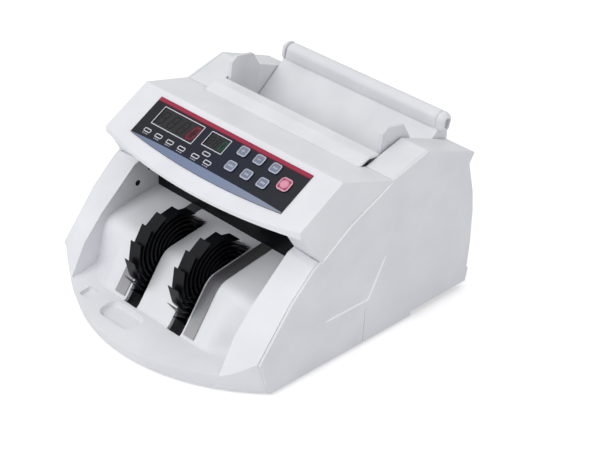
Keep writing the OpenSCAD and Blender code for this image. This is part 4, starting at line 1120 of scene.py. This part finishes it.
def barSolid():
    # the lid's grip bar: two stacked circles wrapped into one section, rounded off at both ends
    rings = []
    turns = [math.pi / 2 * k / gripBar["steps"] for k in range(gripBar["steps"] + 1)]
    for side, turn in [(-1, turn) for turn in turns] + [(1, turn) for turn in turns[::-1]]:
        x = side * (gripBar["half"] - gripBar["round"] * (1 - math.sin(turn)))
        shrink = gripBar["round"] * (1 - math.cos(turn)) * gripBar["squash"]
        ring = []
        for (y, z, r), start in ((gripBar["high"], 0), (gripBar["low"], math.pi)):
            for i in range(gripBar["around"] + 1):
                a = start + math.pi * i / gripBar["around"]
                ring.append((x, y + (r - shrink) * math.cos(a), z + (r - shrink) * math.sin(a)))
        rings.append(ring)
    return tempSolid(*loftRings(rings))


def makeLid():
    piece = copyNode("rear_lid", "rearLid", "lid", slotMaterials["hopper_plastic"])
    combine(piece, [barSolid()], "UNION")
    roundMarked(piece, 30, lambda p: 1.0 if p.z > 100 else 0.4, lid["bevel"])
    roundMarked(copyNode("rear_panel", "rearPanel"), 30, lambda p: 0.8, lid["rearPanelBevel"], segments=3)


makeFrontCover()
print("front cover made")
makeRails()
makeSidePanel(1, "right_side_panel", "rightSidePanel")
makeSidePanel(-1, "left_side_panel", "leftSidePanel")
print("side panels made")
roundMarked(copyNode("control_hood", "controlHood"), 24, hoodEdge, hood["bevel"])
makeHopper()
makeLid()
print("housing made")


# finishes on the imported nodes, and rounded edges on those that keep their own shape

softEdge = dict(base_plate=0.4, outlet_visor=0.4, plug_body=0.8, lead_connector=0.7, power_switch=0.5,
                switch_frame=0.4, power_inlet=0.4, transformer=0.5, drive_motor=0.4, rubber_feet=0.6)


def dressNodes():
    for name, node in nodes.items():
        node.data.materials.clear()
        node.data.materials.append(slotMaterials[nodeSlots[name]])
        if name in softEdge:
            addWeld(node, 0.01)
            flat = node.modifiers.new("flat", "DECIMATE")
            flat.decimate_type = "DISSOLVE"
            flat.angle_limit = math.radians(0.5)
            roundEdges(node, softEdge[name], angle=26, weld=False)


dressNodes()
print("packed nodes dressed")


# light, floor and background

studio = dict(floorSize=16000, floorColor="#F4F4F5", floorGlow=0.4, worldColor="#FFFFFF", worldLight=0.58,
              aim=(0, 40, 60))
# name, place, diameter and watts
studioLamps = [("frontSoftbox", (-500, -1250, 1200), 1400, 12), ("topSoftbox", (100, 300, 1700), 1400, 4),
               ("rightFill", (1600, -200, 600), 1200, 3.4)]


def makeWorld():
    # white where the camera sees it, itself, in glass or in a shine, and dimmer as a light
    world = bpy.data.worlds.new("studio")
    scene.world = world
    world.use_nodes = True
    tree = world.node_tree
    tree.nodes.clear()
    rays = addNode(tree, "LightPath").outputs
    shown = rays["Is Camera Ray"]
    for kind in ("Is Transmission Ray", "Is Glossy Ray"):
        shown = addNode(tree, "Math", {0: shown, 1: rays[kind]}, operation="MAXIMUM").outputs[0]
    light = addNode(tree, "MapRange", {"Value": shown, "To Min": studio["worldLight"], "To Max": 1.0})
    sky = addNode(tree, "Background", {"Color": studio["worldColor"], "Strength": light.outputs["Result"]})
    addNode(tree, "OutputWorld", {"Surface": sky.outputs[0]})


def makeLamps():
    for name, place, size, power in studioLamps:
        data = bpy.data.lights.new(name, "AREA")
        data.shape = "DISK"
        data.size = size * mm
        data.energy = power
        aimFrom(bpy.data.objects.new(name, data), place, studio["aim"])


def makeFloor():
    # matt white paper that glows a little to the camera, so it runs into the background
    paper, tree, shader, place = newMaterial("paperSweep", {"Roughness": 0.9, "Specular IOR Level": 0.1})
    fibre = addNode(tree, "TexNoise", {"Vector": place, "Scale": 1 / (pattern["paper"] * mm), "Detail": 2})
    relief = addNode(tree, "Bump", {"Height": fibre.outputs["Fac"], "Strength": 0.1, "Distance": 0.02 * mm})
    connect(tree, shader, relief=relief)
    seen = addNode(tree, "LightPath").outputs["Is Camera Ray"]
    glow = addNode(tree, "Math", {0: seen, 1: studio["floorGlow"]}, operation="MULTIPLY")
    shader.inputs["Base Color"].default_value = hexColor(studio["floorColor"])
    shader.inputs["Emission Color"].default_value = (1, 1, 1, 1)
    tree.links.new(glow.outputs[0], shader.inputs["Emission Strength"])
    half = studio["floorSize"] / 2 * mm
    corners = [(-half, -half, 0), (half, -half, 0), (half, half, 0), (-half, half, 0)]
    mesh = bpy.data.meshes.new("paperFloor")
    mesh.from_pydata(corners, [], [(0, 1, 2, 3)])
    mesh.materials.append(paper)
    floor = bpy.data.objects.new("paperFloor", mesh)
    scene.collection.objects.link(floor)


makeWorld()
makeLamps()
makeFloor()
scene.view_settings.view_transform = "Standard"
print("studio made")
